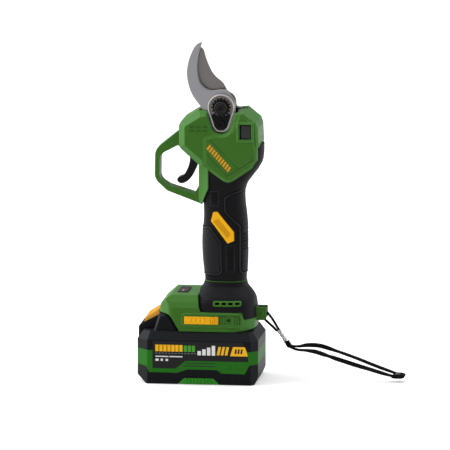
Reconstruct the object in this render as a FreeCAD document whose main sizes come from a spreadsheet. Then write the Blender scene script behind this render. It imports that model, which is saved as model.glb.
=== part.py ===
import FreeCAD, Part
import Sketcher
import math
import os

# Battery electric pruner, in millimetres, +Z up.
# The origin is on the drive axis (motor, gearbox and blade pivot share it), in the plane the
# battery pack rests on. -X is the front: the trigger and pack-release side. +X is the rear: the
# lanyard side. -Y is the left-hand side. The housing splits at the mid plane, y = 0.

Vec = FreeCAD.Vector
SIDES = (-1, 1)  # left and right of the mid plane
doc = FreeCAD.newDocument("pruner")

# ---------------------------------------------------------------- driving dimensions
DIMS = [
    ("pivot_z", 255.0, "height of the blade pivot above the rest plane"),
    ("head_half", 24.0, "half thickness of the head at its flat face"),
    ("head_mid", 18.0, "half thickness of the head where its bevel starts"),
    ("head_bevel", 6.0, "bevel of the head outline at the flat face"),
    ("plate_half", 25.2, "half thickness over the raised side plate"),
    ("guard_half", 8.5, "half width of the trigger guard"),
    ("over_thk", 2.2, "overmould thickness"),
    ("skin_drop", 0.5, "overmould base surface below its raised panels"),
    ("blade_thk", 4.0, "fixed blade thickness"),
    ("edge_thk", 3.95, "moving blade thickness"),
    ("blade_front", 17.0, "distance of the fixed blade's outer face from the mid plane"),
    ("edge_back", 9.0, "distance of the moving blade's inner face from the mid plane"),
    ("bolt_rad", 4.0, "pivot bolt radius"),
    ("bush_rad", 5.5, "pivot bush outer radius"),
    ("root_rad", 12.6, "moving blade root radius"),
    ("plate_thk", 2.0, "pivot plate thickness"),
    ("plate_rad", 12.2, "pivot plate radius"),
    ("tail_rad", 7.5, "pivot plate tail radius"),
    ("tail_drop", 15.0, "distance from the pivot to the tail centre"),
    ("nut_tip", 8.9, "adjusting nut tooth tip radius"),
    ("nut_root", 7.0, "adjusting nut tooth root radius"),
    ("nut_teeth", 16, "adjusting nut teeth"),
    ("bevel_mod", 1.1, "bevel gear module"),
    ("pinion_teeth", 12, "bevel pinion teeth"),
    ("sector_teeth", 36, "bevel sector teeth on the full circle"),
    ("bevel_face", 6.5, "bevel gear face width"),
    ("spur_mod", 0.6, "planetary gear module"),
    ("sun_teeth", 12, "sun gear teeth"),
    ("planet_teeth", 18, "planet gear teeth"),
    ("ring_teeth", 48, "ring gear teeth"),
    ("ring_out", 17.0, "ring gear outer radius"),
    ("ring_low", 203.2, "ring gear lower face"),
    ("ring_high", 221.0, "ring gear upper face"),
    ("planet_low", 205.5, "planet gear lower face"),
    ("planet_high", 213.5, "planet gear upper face"),
    ("pin_rad", 1.4, "planet pin radius"),
    ("motor_rad", 15.0, "motor can radius"),
    ("motor_low", 152.0, "motor can cavity floor"),
    ("motor_high", 200.5, "motor can upper face"),
    ("shaft_rad", 1.5, "motor shaft radius"),
    ("rotor_rad", 7.7, "rotor radius"),
    ("bearing_out", 8.0, "output bearing outer radius"),
    ("output_rad", 4.0, "output shaft radius"),
    ("trigger_x", -27.0, "trigger pivot x"),
    ("trigger_z", 212.0, "trigger pivot z"),
    ("trigger_half", 5.5, "half width of the trigger"),
    ("trigger_pin", 1.5, "trigger pin radius"),
    ("pack_front", -76.5, "pack end on the release side"),
    ("pack_rear", 35.5, "pack end under the lanyard"),
    ("pack_half", 37.5, "half width of the pack"),
    ("pack_top", 48.0, "height of the pack's upper deck"),
    ("cell_rad", 9.1, "cell radius"),
    ("cell_len", 65.0, "cell length"),
    ("cell_pitch", 18.6, "cell pitch"),
    ("rail_neck", 23.5, "half width of the pack rail neck"),
    ("rail_lip", 27.0, "half width of the pack rail lips"),
    ("foot_half", 33.0, "half width of the foot"),
    ("foot_top", 81.5, "height of the foot's front deck"),
    ("foot_low", 48.4, "height of the foot's lower edge"),
    ("button_x", -36.4, "power button centre x"),
    ("button_len", 28.0, "power button length across the foot"),
    ("button_wid", 10.0, "power button width"),
    ("latch_half", 14.0, "half width of the release button"),
    ("screw_rad", 1.5, "housing screw radius"),
    ("lug_x", 36.0, "lanyard pin x"),
    ("lug_z", 62.5, "lanyard pin z"),
    ("lug_pin", 1.5, "lanyard pin radius"),
    ("cord_rad", 1.0, "lanyard cord radius"),
]
sheet = doc.addObject("Spreadsheet::Sheet", "Dims")
for row, (alias, value, note) in enumerate(DIMS, 1):
    sheet.set(f"A{row}", note)
    sheet.set(f"B{row}", repr(value))
    sheet.setAlias(f"B{row}", alias)
doc.recompute()


def dim(alias):
    return float(sheet.get(alias))


PIVOT_Z = dim("pivot_z")
PLATE_HALF = dim("plate_half")
FOOT_HALF = dim("foot_half")
PACK_HALF = dim("pack_half")
LOCK_Z = PIVOT_Z - dim("tail_drop")  # lock screw, at the tail of the pivot plate
NUT_INNER = dim("blade_front") + dim("plate_thk") + 0.05  # nut faces, from the mid plane
NUT_OUTER = NUT_INNER + 2.6
PEG_CIRCLE = 8.2  # drive pegs between the sector gear and the moving blade
PEGS = [
    (PEG_CIRCLE * math.cos(turn), PIVOT_Z + PEG_CIRCLE * math.sin(turn))
    for turn in [math.radians(90 + 120 * k) for k in range(3)]
]
TANG_X, TANG_Z = 8.5, 229  # screws of the fixed blade's tang, at -x and +x
TERMINAL_Y = (-10.0, 0.0, 10.0)
HOUSING_SCREWS = [(-29.0, 233.5), (26.5, 213.0), (8.0, 104.0), (-45.5, 73.5), (22.5, 73.0)]  # x, z
CRIMP = ((50.4, 0, 45.26), (57.0, 0, 35.6))  # ends of the lanyard crimp

PARTS = []  # (label, document object) of every sub-part


def keep(label, obj):
    obj.Label = label
    PARTS.append((label, obj))


def solid_of(shape):
    """The shape's solids as one solid or one compound, without slivers."""
    solids = [s for s in shape.Solids if s.Volume > 0.5]
    return solids[0] if len(solids) == 1 else Part.makeCompound(solids)


def feature(label, *shapes):
    """A sub-part whose shape is worked out from the sheet's numbers."""
    shape = solid_of(shapes[0]) if len(shapes) == 1 else Part.makeCompound(list(shapes))
    if not shape.Placement.isIdentity():  # carry the turn and shift into the geometry itself
        matrix = shape.Placement.toMatrix()
        shape = shape.copy()
        shape.Placement = FreeCAD.Placement()
        shape = shape.transformed(matrix, True)
    obj = doc.addObject("Part::Feature", label)
    obj.Shape = shape
    obj.Placement = FreeCAD.Placement()
    keep(label, obj)


# ---------------------------------------------------------------- parametric helpers
def bind(obj, **expressions):
    """Drive properties by expressions; x, y and z stand for the placement."""
    for prop, expression in expressions.items():
        path = "Placement.Base." + prop if prop in ("x", "y", "z") else prop
        obj.setExpression(path, expression)


def tube_z(name, radius, low, high):
    """Part::Cylinder on the drive axis between two heights."""
    obj = doc.addObject("Part::Cylinder", name)
    bind(obj, Radius=radius, Height=f"({high}) - ({low})", z=low)
    return obj


def tube_y(name, radius, y_from, y_to, x="0", z="Dims.pivot_z"):
    """Part::Cylinder along +Y between two y values."""
    obj = doc.addObject("Part::Cylinder", name)
    obj.Placement = FreeCAD.Placement(Vec(0, 0, 0), FreeCAD.Rotation(Vec(1, 0, 0), -90))
    bind(obj, Radius=radius, Height=f"({y_to}) - ({y_from})", x=x, y=y_from, z=z)
    return obj


def fuse(name, *objs):
    obj = doc.addObject("Part::MultiFuse", name)
    obj.Shapes = list(objs)
    obj.Refine = True
    return obj


def keep_cut(label, base, tool):
    obj = doc.addObject("Part::Cut", label)
    obj.Base, obj.Tool = base, tool
    keep(label, obj)


def new_body(label):
    body = doc.addObject("PartDesign::Body", label)
    keep(label, body)
    return body


def new_sketch(body, name, offset=None):
    """Sketch of x and z on the body's XZ plane, moved towards -Y by the offset expression."""
    sketch = body.newObject("Sketcher::SketchObject", name)
    plane = [f for f in body.Origin.OriginFeatures if f.Role == "XZ_Plane"][0]
    sketch.AttachmentSupport = (plane, [""])
    sketch.MapMode = "FlatFace"
    if offset is not None:
        sketch.setExpression("AttachmentOffset.Base.z", offset)
    return sketch


def sk_chain(sketch, pts):
    for start, end in zip(pts, pts[1:]):
        sketch.addGeometry(Part.LineSegment(Vec(*start, 0), Vec(*end, 0)), False)


def sk_poly(sketch, pts):
    first, count = sketch.GeometryCount, len(pts)
    sk_chain(sketch, pts + pts[:1])
    for i in range(count):
        following = first + (i + 1) % count
        sketch.addConstraint(Sketcher.Constraint("Coincident", first + i, 2, following, 1))


def sk_circle(sketch, x, z, radius, alias=None):
    """Circle of a fixed radius, or of a sheet radius with the given one added."""
    value = radius + (dim(alias) if alias else 0)
    circle = sketch.addGeometry(Part.Circle(Vec(x, z, 0), Vec(0, 0, 1), value), False)
    index = sketch.addConstraint(Sketcher.Constraint("Radius", circle, value))
    if alias:
        sketch.setExpression(f"Constraints[{index}]", f"Dims.{alias} + {radius}")


def spline(pts):
    curve = Part.BSplineCurve()
    curve.interpolate([Vec(*p) for p in pts])
    return curve


def sk_spline(sketch, pts):
    sketch.addGeometry(spline([(x, z, 0) for x, z in pts]), False)


def pad(body, sketch, length, name="Pad", midplane=False):
    """Pad the sketch towards -Y, or evenly about its plane."""
    obj = body.newObject("PartDesign::Pad", name)
    obj.Profile = sketch
    obj.setExpression("Length", length)
    if midplane:
        obj.Midplane = True
    sketch.Visibility = False
    doc.recompute()


# ---------------------------------------------------------------- shape helpers
def poly_face(pts):
    return Part.Face(Part.makePolygon([Vec(*p) for p in pts] + [Vec(*pts[0])]))


def prism_y(pts, y0, y1):
    return poly_face([(x, y0, z) for x, z in pts]).extrude(Vec(0, y1 - y0, 0))


def prism_x(pts, x0, x1):
    return poly_face([(x0, y, z) for y, z in pts]).extrude(Vec(x1 - x0, 0, 0))


def prism_z(pts, z0, z1):
    return poly_face([(x, y, z0) for x, y in pts]).extrude(Vec(0, 0, z1 - z0))


def box(x0, x1, y0, y1, z0, z1):
    return Part.makeBox(x1 - x0, y1 - y0, z1 - z0, Vec(x0, y0, z0))


def mid_box(x0, x1, half, z0, z1):
    """Box centred on the mid plane."""
    return box(x0, x1, -half, half, z0, z1)


def side_box(side, x0, x1, y0, y1, z0, z1):
    """Box on one side of the mid plane, y0 and y1 being distances from it."""
    return box(x0, x1, *sorted((side * y0, side * y1)), z0, z1)


def cyl_y(x, z, radius, y0, y1):
    return Part.makeCylinder(radius, y1 - y0, Vec(x, y0, z), Vec(0, 1, 0))


def cyl_z(x, y, radius, z0, z1):
    return Part.makeCylinder(radius, z1 - z0, Vec(x, y, z0), Vec(0, 0, 1))


def rod(start, end, radius):
    along = Vec(*end) - Vec(*start)
    return Part.makeCylinder(radius, along.Length, Vec(*start), along)


def turned(shape, axis, degrees):
    """The shape itself, turned about an axis through the origin."""
    shape.rotate(Vec(0, 0, 0), Vec(*axis), degrees)
    return shape


def rect(x0, x1, y0, y1):
    return [(x0, y0), (x1, y0), (x1, y1), (x0, y1)]


def rounded(pts, radii, chords=7):
    """Polygon with its corners rounded into chords. radii is one number or one per corner."""
    out = []
    for i, (px, py) in enumerate(pts):
        radius = radii if isinstance(radii, (int, float)) else radii[i]
        if radius <= 0:
            out.append((px, py))
            continue
        (ax, ay), (bx, by) = pts[i - 1], pts[(i + 1) % len(pts)]
        len_a, len_b = math.hypot(ax - px, ay - py), math.hypot(bx - px, by - py)
        ax, ay = (ax - px) / len_a, (ay - py) / len_a
        bx, by = (bx - px) / len_b, (by - py) / len_b
        half = math.acos(max(-1, min(1, ax * bx + ay * by))) / 2
        trim = min(radius / math.tan(half), len_a * 0.49, len_b * 0.49)
        radius = trim * math.tan(half)
        reach = radius / math.sin(half) / math.hypot(ax + bx, ay + by)
        cx, cy = px + (ax + bx) * reach, py + (ay + by) * reach
        start = math.atan2(py + ay * trim - cy, px + ax * trim - cx)
        end = math.atan2(py + by * trim - cy, px + bx * trim - cx)
        sweep = (end - start + math.pi) % (2 * math.pi) - math.pi
        for k in range(chords + 1):
            angle = start + sweep * k / chords
            out.append((cx + radius * math.cos(angle), cy + radius * math.sin(angle)))
    return out


def inset(pts, distance):
    """Polygon moved inwards, keeping one point per corner."""
    pairs = list(zip(pts, pts[1:] + pts[:1]))
    turn = 1 if sum(a[0] * b[1] - b[0] * a[1] for a, b in pairs) > 0 else -1
    lines = []  # point and unit direction of each moved edge
    for (ax, ay), (bx, by) in pairs:
        length = math.hypot(bx - ax, by - ay)
        ux, uy = (bx - ax) / length, (by - ay) / length
        lines.append((ax - uy * turn * distance, ay + ux * turn * distance, ux, uy))
    out = []
    for i, (x2, y2, vx, vy) in enumerate(lines):
        x1, y1, ux, uy = lines[i - 1]
        det = ux * vy - uy * vx
        if abs(det) < 1e-9:
            out.append((x2, y2))
            continue
        t = ((x2 - x1) * vy - (y2 - y1) * vx) / det
        out.append((x1 + ux * t, y1 + uy * t))
    return out


def ring_solid(rings, twisted=False):
    """Solid through rings of 3D points with the same count, every side face flat.

    Rings that twist or bend need each side face split into two triangles.
    """
    faces = [poly_face(rings[0]), poly_face(rings[-1])]
    count = len(rings[0])
    for a, b in zip(rings, rings[1:]):
        for i in range(count):
            j = (i + 1) % count
            if twisted:
                faces.append(poly_face([a[i], a[j], b[j]]))
                faces.append(poly_face([a[i], b[j], b[i]]))
            else:
                faces.append(poly_face([a[i], a[j], b[j], b[i]]))
    shell = Part.makeShell(faces)
    shell.sewShape()
    solid = Part.makeSolid(shell)
    if solid.Volume < 0:
        solid.reverse()
    return solid


def loft_y(*levels, twisted=False):
    """Solid through (outline of x and z, y) levels."""
    return ring_solid([[(x, y, z) for x, z in outline] for outline, y in levels], twisted)


def loft_z(*levels):
    """Solid through (outline of x and y, z) levels."""
    return ring_solid([[(x, y, z) for x, y in outline] for outline, z in levels])


def bevel_prism(pts, mid, face, bevel):
    """Prism about the mid plane, full size to mid and inset by bevel at face."""
    inner = inset(pts, bevel)
    return loft_y((inner, -face), (pts, -mid), (pts, mid), (inner, face))


def bevel_pad(pts, y0, y1, bevel):
    """Prism from y0 to y1 whose far edge is bevelled."""
    shoulder = y1 - math.copysign(bevel, y1 - y0)
    return loft_y((pts, y0), (pts, shoulder), (inset(pts, bevel), y1))


def tidy(shape):
    """Merge split faces where that is possible."""
    try:  # removeSplitter can fail on some shapes; they are used unmerged
        merged = shape.removeSplitter()
    except Exception:
        return shape
    return merged if merged.isValid() and len(merged.Solids) == len(shape.Solids) else shape


def joined(*shapes):
    result = shapes[0]
    for shape in shapes[1:]:
        result = result.fuse(shape)
    return result


def union(*shapes):
    return tidy(joined(*shapes))


def section(z, x0, x1, half, power=2.8, count=28):
    """Closed smooth horizontal section: a superellipse of the given power."""
    centre, reach = (x0 + x1) / 2, (x1 - x0) / 2
    pts = []
    for k in range(count):
        turn = 2 * math.pi * k / count
        u, v = [math.copysign(abs(q) ** (2 / power), q) for q in (math.cos(turn), math.sin(turn))]
        pts.append(Vec(centre + reach * u, half * v, z))
    curve = Part.BSplineCurve()
    curve.interpolate(pts, PeriodicFlag=True)
    return Part.Wire(curve.toShape())


def helix_spring(radius, wire, height, turns, base, axis):
    """Coil of hexagonal wire rising by height, wire thickness included, from base along axis."""
    per_turn = 14
    steps = int(turns * per_turn)
    rise = (height - 2 * wire) / steps
    slope = math.atan2(rise * per_turn, 2 * math.pi * radius)
    up = Vec(0, 0, 1)
    turn = FreeCAD.Rotation(up, Vec(*axis))
    rings = []
    for i in range(steps + 1):
        angle = 2 * math.pi * i / per_turn
        out = Vec(math.cos(angle), math.sin(angle), 0)
        around = Vec(-math.sin(angle), math.cos(angle), 0)
        side = out.cross(around * math.cos(slope) + up * math.sin(slope))
        centre = out * radius + up * (wire + rise * i)
        ring = []
        for k in range(6):
            q = math.pi * k / 3
            offset = out * (wire * math.cos(q)) + side * (wire * math.sin(q))
            ring.append(tuple(turn.multVec(centre + offset) + Vec(*base)))
        rings.append(ring)
    return ring_solid(rings, twisted=True)


# ---------------------------------------------------------------- housing outlines, (x, z)
HEAD = [  # head, with its lower edge above the grip
    (-20.5, 252.2), (-37.0, 242.0), (-39.2, 237.6), (-39.2, 217.4), (-21.6, 202.0),
    (-11.7, 199.6), (3.2, 187.2), (7.0, 185.8), (11.2, 187.4), (28.6, 199.0), (33.4, 206.5),
    (33.6, 218.6), (35.0, 219.0), (34.2, 236.4), (32.0, 241.6), (20.4, 251.0), (12.0, 249.9),
]
HEAD_BLOCK = [  # bevelled block the head is trimmed from
    (-20.5, 252.2), (-39.2, 240.6), (-39.2, 217.4), (-21.6, 202.0), (-21.6, 160.0),
    (38.7, 160.0), (38.7, 219.0), (37.4, 243.5), (22.4, 255.6), (12.0, 254.4),
]
HEAD_BLOCK_RADII = [0, 7.5, 7.5, 0, 0, 0, 0, 7.5, 0, 0]
HEAD_CAVITY = [
    (-19.6, 248.8), (-35.2, 239.2), (-37.0, 236.2), (-37.0, 219.4), (-21.2, 205.6),
    (-10.8, 203.2), (3.4, 191.2), (7.0, 190.2), (10.6, 191.2), (27.0, 202.2), (30.2, 207.4),
    (30.6, 221.0), (33.0, 222.0), (32.2, 235.6), (30.0, 240.2), (19.4, 248.6), (12.0, 247.8),
]
HEAD_ZONE = [  # the overmould stays out of this region
    (-60, 300), (-60, 160), (-26.6, 160), (-19.2, 163.4), (-11.7, 180.0), (-11.7, 199.8),
    (3.0, 187.3), (7.0, 185.9), (11.2, 187.5), (28.5, 199.1), (33.3, 206.6), (33.4, 218.8),
    (60, 219.4), (60, 300),
]
PLATE = [  # raised side plate: foot of its slope on the head
    (16.2, 250.6), (9.4, 235.0), (-17.4, 228.2), (-17.4, 201.6), (2.6, 187.2), (7.0, 185.9),
    (11.6, 187.6), (28.6, 199.2), (33.2, 206.6), (33.3, 219.0), (31.6, 220.4), (30.9, 240.8),
]
PLATE_TOP = [  # and the edge of its flat face
    (18.7, 248.6), (12.2, 232.0), (-12.8, 225.4), (-12.8, 203.6), (3.4, 190.0), (7.0, 188.8),
    (10.8, 190.2), (26.9, 201.2), (30.7, 207.4), (30.8, 218.2), (29.7, 219.2), (29.2, 239.8),
]
PLATE_GROOVES = [  # shallow recesses in the flat face
    [(-9.6, 225.6), (-8.2, 226.0), (17.6, 199.2), (16.6, 198.3)],
    [(-12.2, 213.6), (6.6, 192.6), (30.8, 208.6), (30.8, 206.9), (6.6, 190.9), (-12.2, 211.9)],
]
STRIP = [  # strip down the front of the grip
    (-22.0, 204.0), (-22.0, 180.0), (-26.6, 172.2), (-19.2, 163.4), (-11.7, 180.0), (-11.7, 204.0),
]
GUARD_OUT = [
    (-34.0, 236.5), (-62.4, 213.5), (-62.9, 186.0), (-51.5, 175.3), (-19.0, 163.2),
    (-16.0, 175.0), (-24.0, 200.0),
]
GUARD_IN = [
    (-41.2, 217.6), (-58.3, 208.6), (-58.6, 185.2), (-49.6, 179.6), (-26.4, 172.4),
    (-22.0, 180.2), (-22.0, 200.2), (-38.0, 214.5),
]
TRIGGER_SLOT = [
    (-37.0, 218), (-33.5, 214), (-34.8, 207.5), (-28.5, 198.0), (-22.1, 181.0), (-18.6, 181.0),
    (-18.6, 202), (-19.5, 226), (-37.0, 226),
]
FOOT_FRONT = [  # side view of the foot's front block
    (-18, dim("foot_top")), (-45.6, dim("foot_top")), (-54.6, 73.8), (-56.3, 67.0),
    (-56.5, 65.0), (-51, 64.5), (-47.2, 63.6), (-44.4, 60.8), (-37.3, dim("foot_low")),
    (-18, dim("foot_low")),
]
COLLAR_CUT = [  # region of the soft collar round the foot
    (-19.6, 100), (-20.6, 80), (-19.2, 70), (-17.4, 66.4), (19.4, 66.4), (21.2, 65.2),
    (21.9, 63.4), (22.0, 60.2), (23.0, 59.5), (40, 59.2), (40, 100),
]
ACCENT = [
    (-7.3, 157.7), (-3.4, 158.2), (11.9, 139.6), (12.1, 131.4), (6.1, 128.7), (-9.4, 149.5),
]
PANEL = rounded([(-35, 52.6), (-35, 65.6), (21.8, 65.6), (21.8, 52.6)], [3, 3, 6.4, 6.4], 6)

# ---------------------------------------------------------------- housing stations
GRIP = [  # z, x low, x high, half width
    (84.0, -17.2, 21.4, 18.4), (92.0, -17.1, 21.5, 18.4), (101.0, -17.5, 21.9, 18.8),
    (114.0, -18.8, 22.4, 19.4), (128.0, -19.3, 22.5, 19.7), (141.0, -18.9, 22.3, 19.5),
    (154.0, -18.2, 21.3, 19.0), (165.0, -18.6, 20.0, 18.8), (173.0, -19.6, 19.7, 19.0),
    (181.0, -20.8, 21.4, 19.8), (189.0, -21.4, 26.6, 21.0), (197.0, -21.6, 32.6, 22.2),
    (205.0, -21.6, 36.4, 22.9), (214.0, -21.6, 37.2, 23.1), (226.0, -21.6, 37.2, 23.1),
]
COLLAR = [  # z, x low, x high, half width, superellipse power
    (93.6, -17.1, 21.4, 18.4, 2.8), (90.6, -17.5, 21.7, 18.8, 2.8),
    (88.0, -18.6, 22.2, 19.7, 2.8), (86.2, -20.1, 23.2, 21.7, 2.75),
    (84.4, -22.0, 24.6, 24.0, 2.7), (82.2, -24.1, 26.2, 26.6, 2.7),
    (80.0, -26.0, 27.7, 29.0, 2.7), (77.4, -28.2, 29.1, 30.8, 2.75),
    (74.6, -30.0, 30.1, 32.0, 2.8), (69.0, -32.0, 31.0, 32.9, 2.9),
    (57.0, -32.0, 31.3, 32.9, 2.9),
]


def monotone(zs, values, z):
    """Monotone cubic through (zs, values), read at z."""
    count = len(zs)
    rates = [(values[i + 1] - values[i]) / (zs[i + 1] - zs[i]) for i in range(count - 1)]
    slopes = [rates[0]]
    for a, b in zip(rates, rates[1:]):
        slopes.append(0.0 if a * b <= 0 else 2 * a * b / (a + b))
    slopes.append(rates[-1])
    i = max(0, min(count - 2, sum(1 for q in zs if q <= z) - 1))
    width = zs[i + 1] - zs[i]
    t = (z - zs[i]) / width
    return (
        (2 * t**3 - 3 * t**2 + 1) * values[i]
        + (t**3 - 2 * t**2 + t) * width * slopes[i]
        + (-2 * t**3 + 3 * t**2) * values[i + 1]
        + (t**3 - t**2) * width * slopes[i + 1]
    )


def grip_loft(depth):
    """The grip's outer form, shrunk by depth."""
    zs, *columns = zip(*GRIP)
    count = 36
    wires = []
    for k in range(count + 1):
        z = zs[0] + (zs[-1] - zs[0]) * k / count
        low, high, half = [monotone(zs, column, z) for column in columns]
        wires.append(section(z, low + depth, high - depth, half - depth))
    return Part.makeLoft(wires, True, True)


def collar_loft(depth):
    """The collar's outer form, shrunk by depth."""
    wires = [
        section(z, low + depth, high - depth, half - depth, power, 36)
        for z, low, high, half, power in COLLAR
    ]
    return Part.makeLoft(wires, True, True)


def teardrop(grow=0.0):
    """Outline of the pivot plate, grown by grow."""
    top_rad, tail_rad = dim("plate_rad") + grow, dim("tail_rad") + grow
    drop = dim("tail_drop")
    lean = math.asin((top_rad - tail_rad) / drop)
    pts = []
    for radius, z, start, sweep, count in (
        (top_rad, PIVOT_Z, -lean, math.pi + 2 * lean, 30),
        (tail_rad, PIVOT_Z - drop, math.pi + lean, math.pi - 2 * lean, 15),
    ):
        for k in range(count + 1):
            turn = start + sweep * k / count
            pts.append((radius * math.cos(turn), z + radius * math.sin(turn)))
    return pts


# ---------------------------------------------------------------- housing solids
def head_block():
    block = rounded(HEAD_BLOCK, HEAD_BLOCK_RADII, 5)
    block = bevel_prism(block, dim("head_mid"), dim("head_half"), dim("head_bevel"))
    return block.common(prism_y(HEAD, -30, 30))


def side_plates():
    plates = Part.makeCompound([
        loft_y((PLATE, s * 10), (PLATE, s * 23.7), (PLATE_TOP, s * PLATE_HALF), twisted=True)
        for s in SIDES
    ])
    for side in SIDES:
        for groove in PLATE_GROOVES:
            floor, above = side * (PLATE_HALF - 0.5), side * (PLATE_HALF + 1)
            plates = plates.cut(prism_y(groove, floor, above))
    return plates


def trigger_guard():
    half = dim("guard_half")
    outer = rounded(GUARD_OUT, [0, 11, 11, 9, 0, 0, 0], 6)
    inner = rounded(GUARD_IN, [0, 9, 9, 6, 0, 0, 0, 0], 6)
    return prism_y(outer, -half, half).cut(prism_y(inner, -half - 1, half + 1))


def grip_strip():
    strip = prism_y(STRIP, -20.5, 20.5)
    for s in SIDES:  # slant the front corners
        corner = [(-30, s * 9.0), (-22.0, s * 9.0), (-12.4, s * 20.5), (-12.4, s * 30), (-30, s * 30)]
        strip = strip.cut(prism_z(corner, 150, 204.5))
    return strip


def foot_blocks():
    """The foot's front block and its rear block with a round end."""
    half, top, low = FOOT_HALF, dim("foot_top"), dim("foot_low")
    plan = [
        (-56.5, -24), (-46, -half), (14, -half), (30.8, -20), (31.6, 0), (30.8, 20),
        (14, half), (-46, half), (-56.5, 24),
    ]
    plan = rounded(plan, [8, 10, 24, 18, 20, 18, 24, 10, 8], 7)
    across = [(-half, low), (-half, 70), (-30.6, 75.4), (-27, top)]  # y, z
    across += [(-y, z) for y, z in reversed(across)]
    front = prism_x(across, -56.5, -18)
    front = front.common(prism_y(FOOT_FRONT, -40, 40)).common(prism_z(plan, 40, 90))
    rear = prism_z(plan, low, 67.5).common(mid_box(-30, 40, 40, 0, 90))
    underside = [(14, low - 1), (22, low), (31, 50.4), (40, 51), (40, 40), (14, 40)]
    return front, rear.cut(prism_y(underside, -50, 50))


def side_panels():
    return union(*[bevel_pad(PANEL, s * 25, s * (FOOT_HALF + 0.9), 0.5) for s in SIDES])


def lanyard_lug():
    lug = mid_box(26.0, 40.2, 7.2, 57.4, 67.8)
    return lug.cut(mid_box(31.8, 45, 4.0, 50, 70)).cut(mid_box(25, 31, 30, 67.0, 72))


def housing_hollows():
    """Everything cut from the closed housing."""
    bay = [(-28.5, 61.0), (-28.5, 69), (-25.5, 74.6), (-23.0, 78.4)]  # y, z
    bay += [(-y, z) for y, z in reversed(bay)]
    button_x = dim("button_x")
    return [
        bevel_prism(HEAD_CAVITY, 16.5, 20.6, 4.0),
        # motor bore and its passage to the foot
        cyl_z(0, 0, 15.3, 92, 210),
        cyl_z(0, 0, 12.0, 70, 95),
        # cable run beside the motor
        mid_box(-4.5, 4.5, 17.0, 94, 150),
        # foot electronics bay
        prism_x(bay, -41, 18),
        prism_x([(-22.5, 70.2), (-22.5, 76.2), (22.5, 76.2), (22.5, 70.2)], -51.5, -40),
        mid_box(17.5, 27.0, 18, 61.0, 76.0),
        # rail channel, open towards the release side
        mid_box(-60, 20.4, 24.0, 40, 54.0),
        mid_box(-60, 20.4, 27.4, 53.2, 57.6),
        # latch pocket, open towards the release side
        mid_box(-70, -48.6, 9.6, 60, 68.0),
        # pocket for the terminal block
        mid_box(19.8, 27.6, 15, 48, 61.2),
        # swing space of the sector gear
        cyl_y(0, PIVOT_Z, 21.6, 4.0, 15.4).common(box(-30, 30, 0, 20, 225, 250.8)),
        # blade slot and hub clearance through the top of the head
        box(-21.8, 14.6, -17.6, -8.4, 236, 270),
        box(-14.0, 14.0, -8.5, 19.6, 238, 270),
        # pivot plate, nut and bolt openings
        prism_y(teardrop(1.3), -40, -14.0),
        loft_y((teardrop(1.25), -20.4), (teardrop(5.0), -25.4), (teardrop(5.0), -27.0),
               twisted=True),
        box(-13.5, 13.5, -40, -14, PIVOT_Z, 270),
        cyl_y(0, PIVOT_Z, 13.2, 17, 40),
        box(-13.2, 13.2, 17, 40, PIVOT_Z, 270),
        prism_y(TRIGGER_SLOT, -6.3, 6.3),
        # seat of the gearbox
        cyl_z(0, 0, dim("ring_out") + 0.05, 200.4, 222),
        # display window
        box(17.6, 28.2, -30, -18, 226.2, 240.0),
        # power button window
        mid_box(button_x - 5.2, button_x + 5.2, 14.2, 76, 90),
        # lanyard pin
        cyl_y(dim("lug_x"), dim("lug_z"), dim("lug_pin"), -12, 12),
    ]


def inner_supports(outer):
    """Screw columns, trigger pivot bosses and gearbox ribs, trimmed to the housing."""
    columns = union(*[cyl_y(x, z, 3.9, -40, 40) for x, z in HOUSING_SCREWS]).common(outer)
    x, z = dim("trigger_x"), dim("trigger_z")
    bosses = union(cyl_y(x, z, 3.6, -22, -6.6), cyl_y(x, z, 3.6, 6.6, 22))
    ribs = [
        mid_box(-24.0, 27.0, 21.5, low, low + 1.8)
        .cut(cyl_z(0, 0, dim("ring_out") + 0.05, low - 1, low + 3))
        .cut(mid_box(-40, -14, 7.4, 190, 240))
        for low in (205.0, 216.0)
    ]
    return union(columns, bosses, *ribs).common(outer)


def pin_and_screw_holes():
    holes = [cyl_y(dim("trigger_x"), dim("trigger_z"), dim("trigger_pin"), -15, 15)]
    for x, z in HOUSING_SCREWS:
        holes.append(cyl_y(x, z, dim("screw_rad"), -9.6, 0.5))
        holes.append(cyl_y(x, z, 1.7, 0, 9.5))
        holes.append(cyl_y(x, z, 3.2, 9, 45))
    return holes


def display_bezel():
    bezel = bevel_pad(rect(14.8, 30.8, 223.8, 242.6), -23, -26.2, 1.0)
    window = rect(17.6, 28.2, 226.4, 239.8)
    flare = rect(15.9, 29.1, 224.8, 241.6)
    return bezel.cut(loft_y((window, -22), (window, -24.0), (flare, -26.6)))


def foot_recesses():
    """Ribbed recess with a round hole, and the badge seat, on both sides of the foot."""
    tools = []
    for side in SIDES:
        recess = side_box(side, -0.6, 19.6, FOOT_HALF - 0.4, 40, 55.6, 64.4)
        ribs = [
            side_box(side, x, x + 1.1, FOOT_HALF - 1.6, FOOT_HALF + 0.4, 55.0, 62.4)
            for x in (1.2, 3.4, 12.6, 14.8, 17.0)
        ]
        tools.append(recess.cut(ribs))
        tools.append(cyl_y(8.6, 59.4, 1.9, *sorted((side * 30, side * 45))))
        tools.append(side_box(side, -32.8, -0.8, FOOT_HALF - 0.6, 40, 55.2, 62.8))
    return tools


def vent_outline(gap=0.0):
    return rounded(rect(-6.2 + gap, 19.8 - gap, 71.8 + gap, 77.2 - gap), 1.4, 4)


def collar_edge(x, z, drop):
    """Half width of the collar at (x, z), less drop."""
    for low, high in zip(COLLAR[1:], COLLAR):
        if low[0] <= z <= high[0]:
            t = (z - low[0]) / (high[0] - low[0])
            x0, x1, half, power = [a + (b - a) * t for a, b in zip(low[1:], high[1:])]
            u = abs((x - (x0 + x1) / 2) / ((x1 - x0) / 2))
            return half * (1 - u**power) ** (1 / power) - drop


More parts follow.
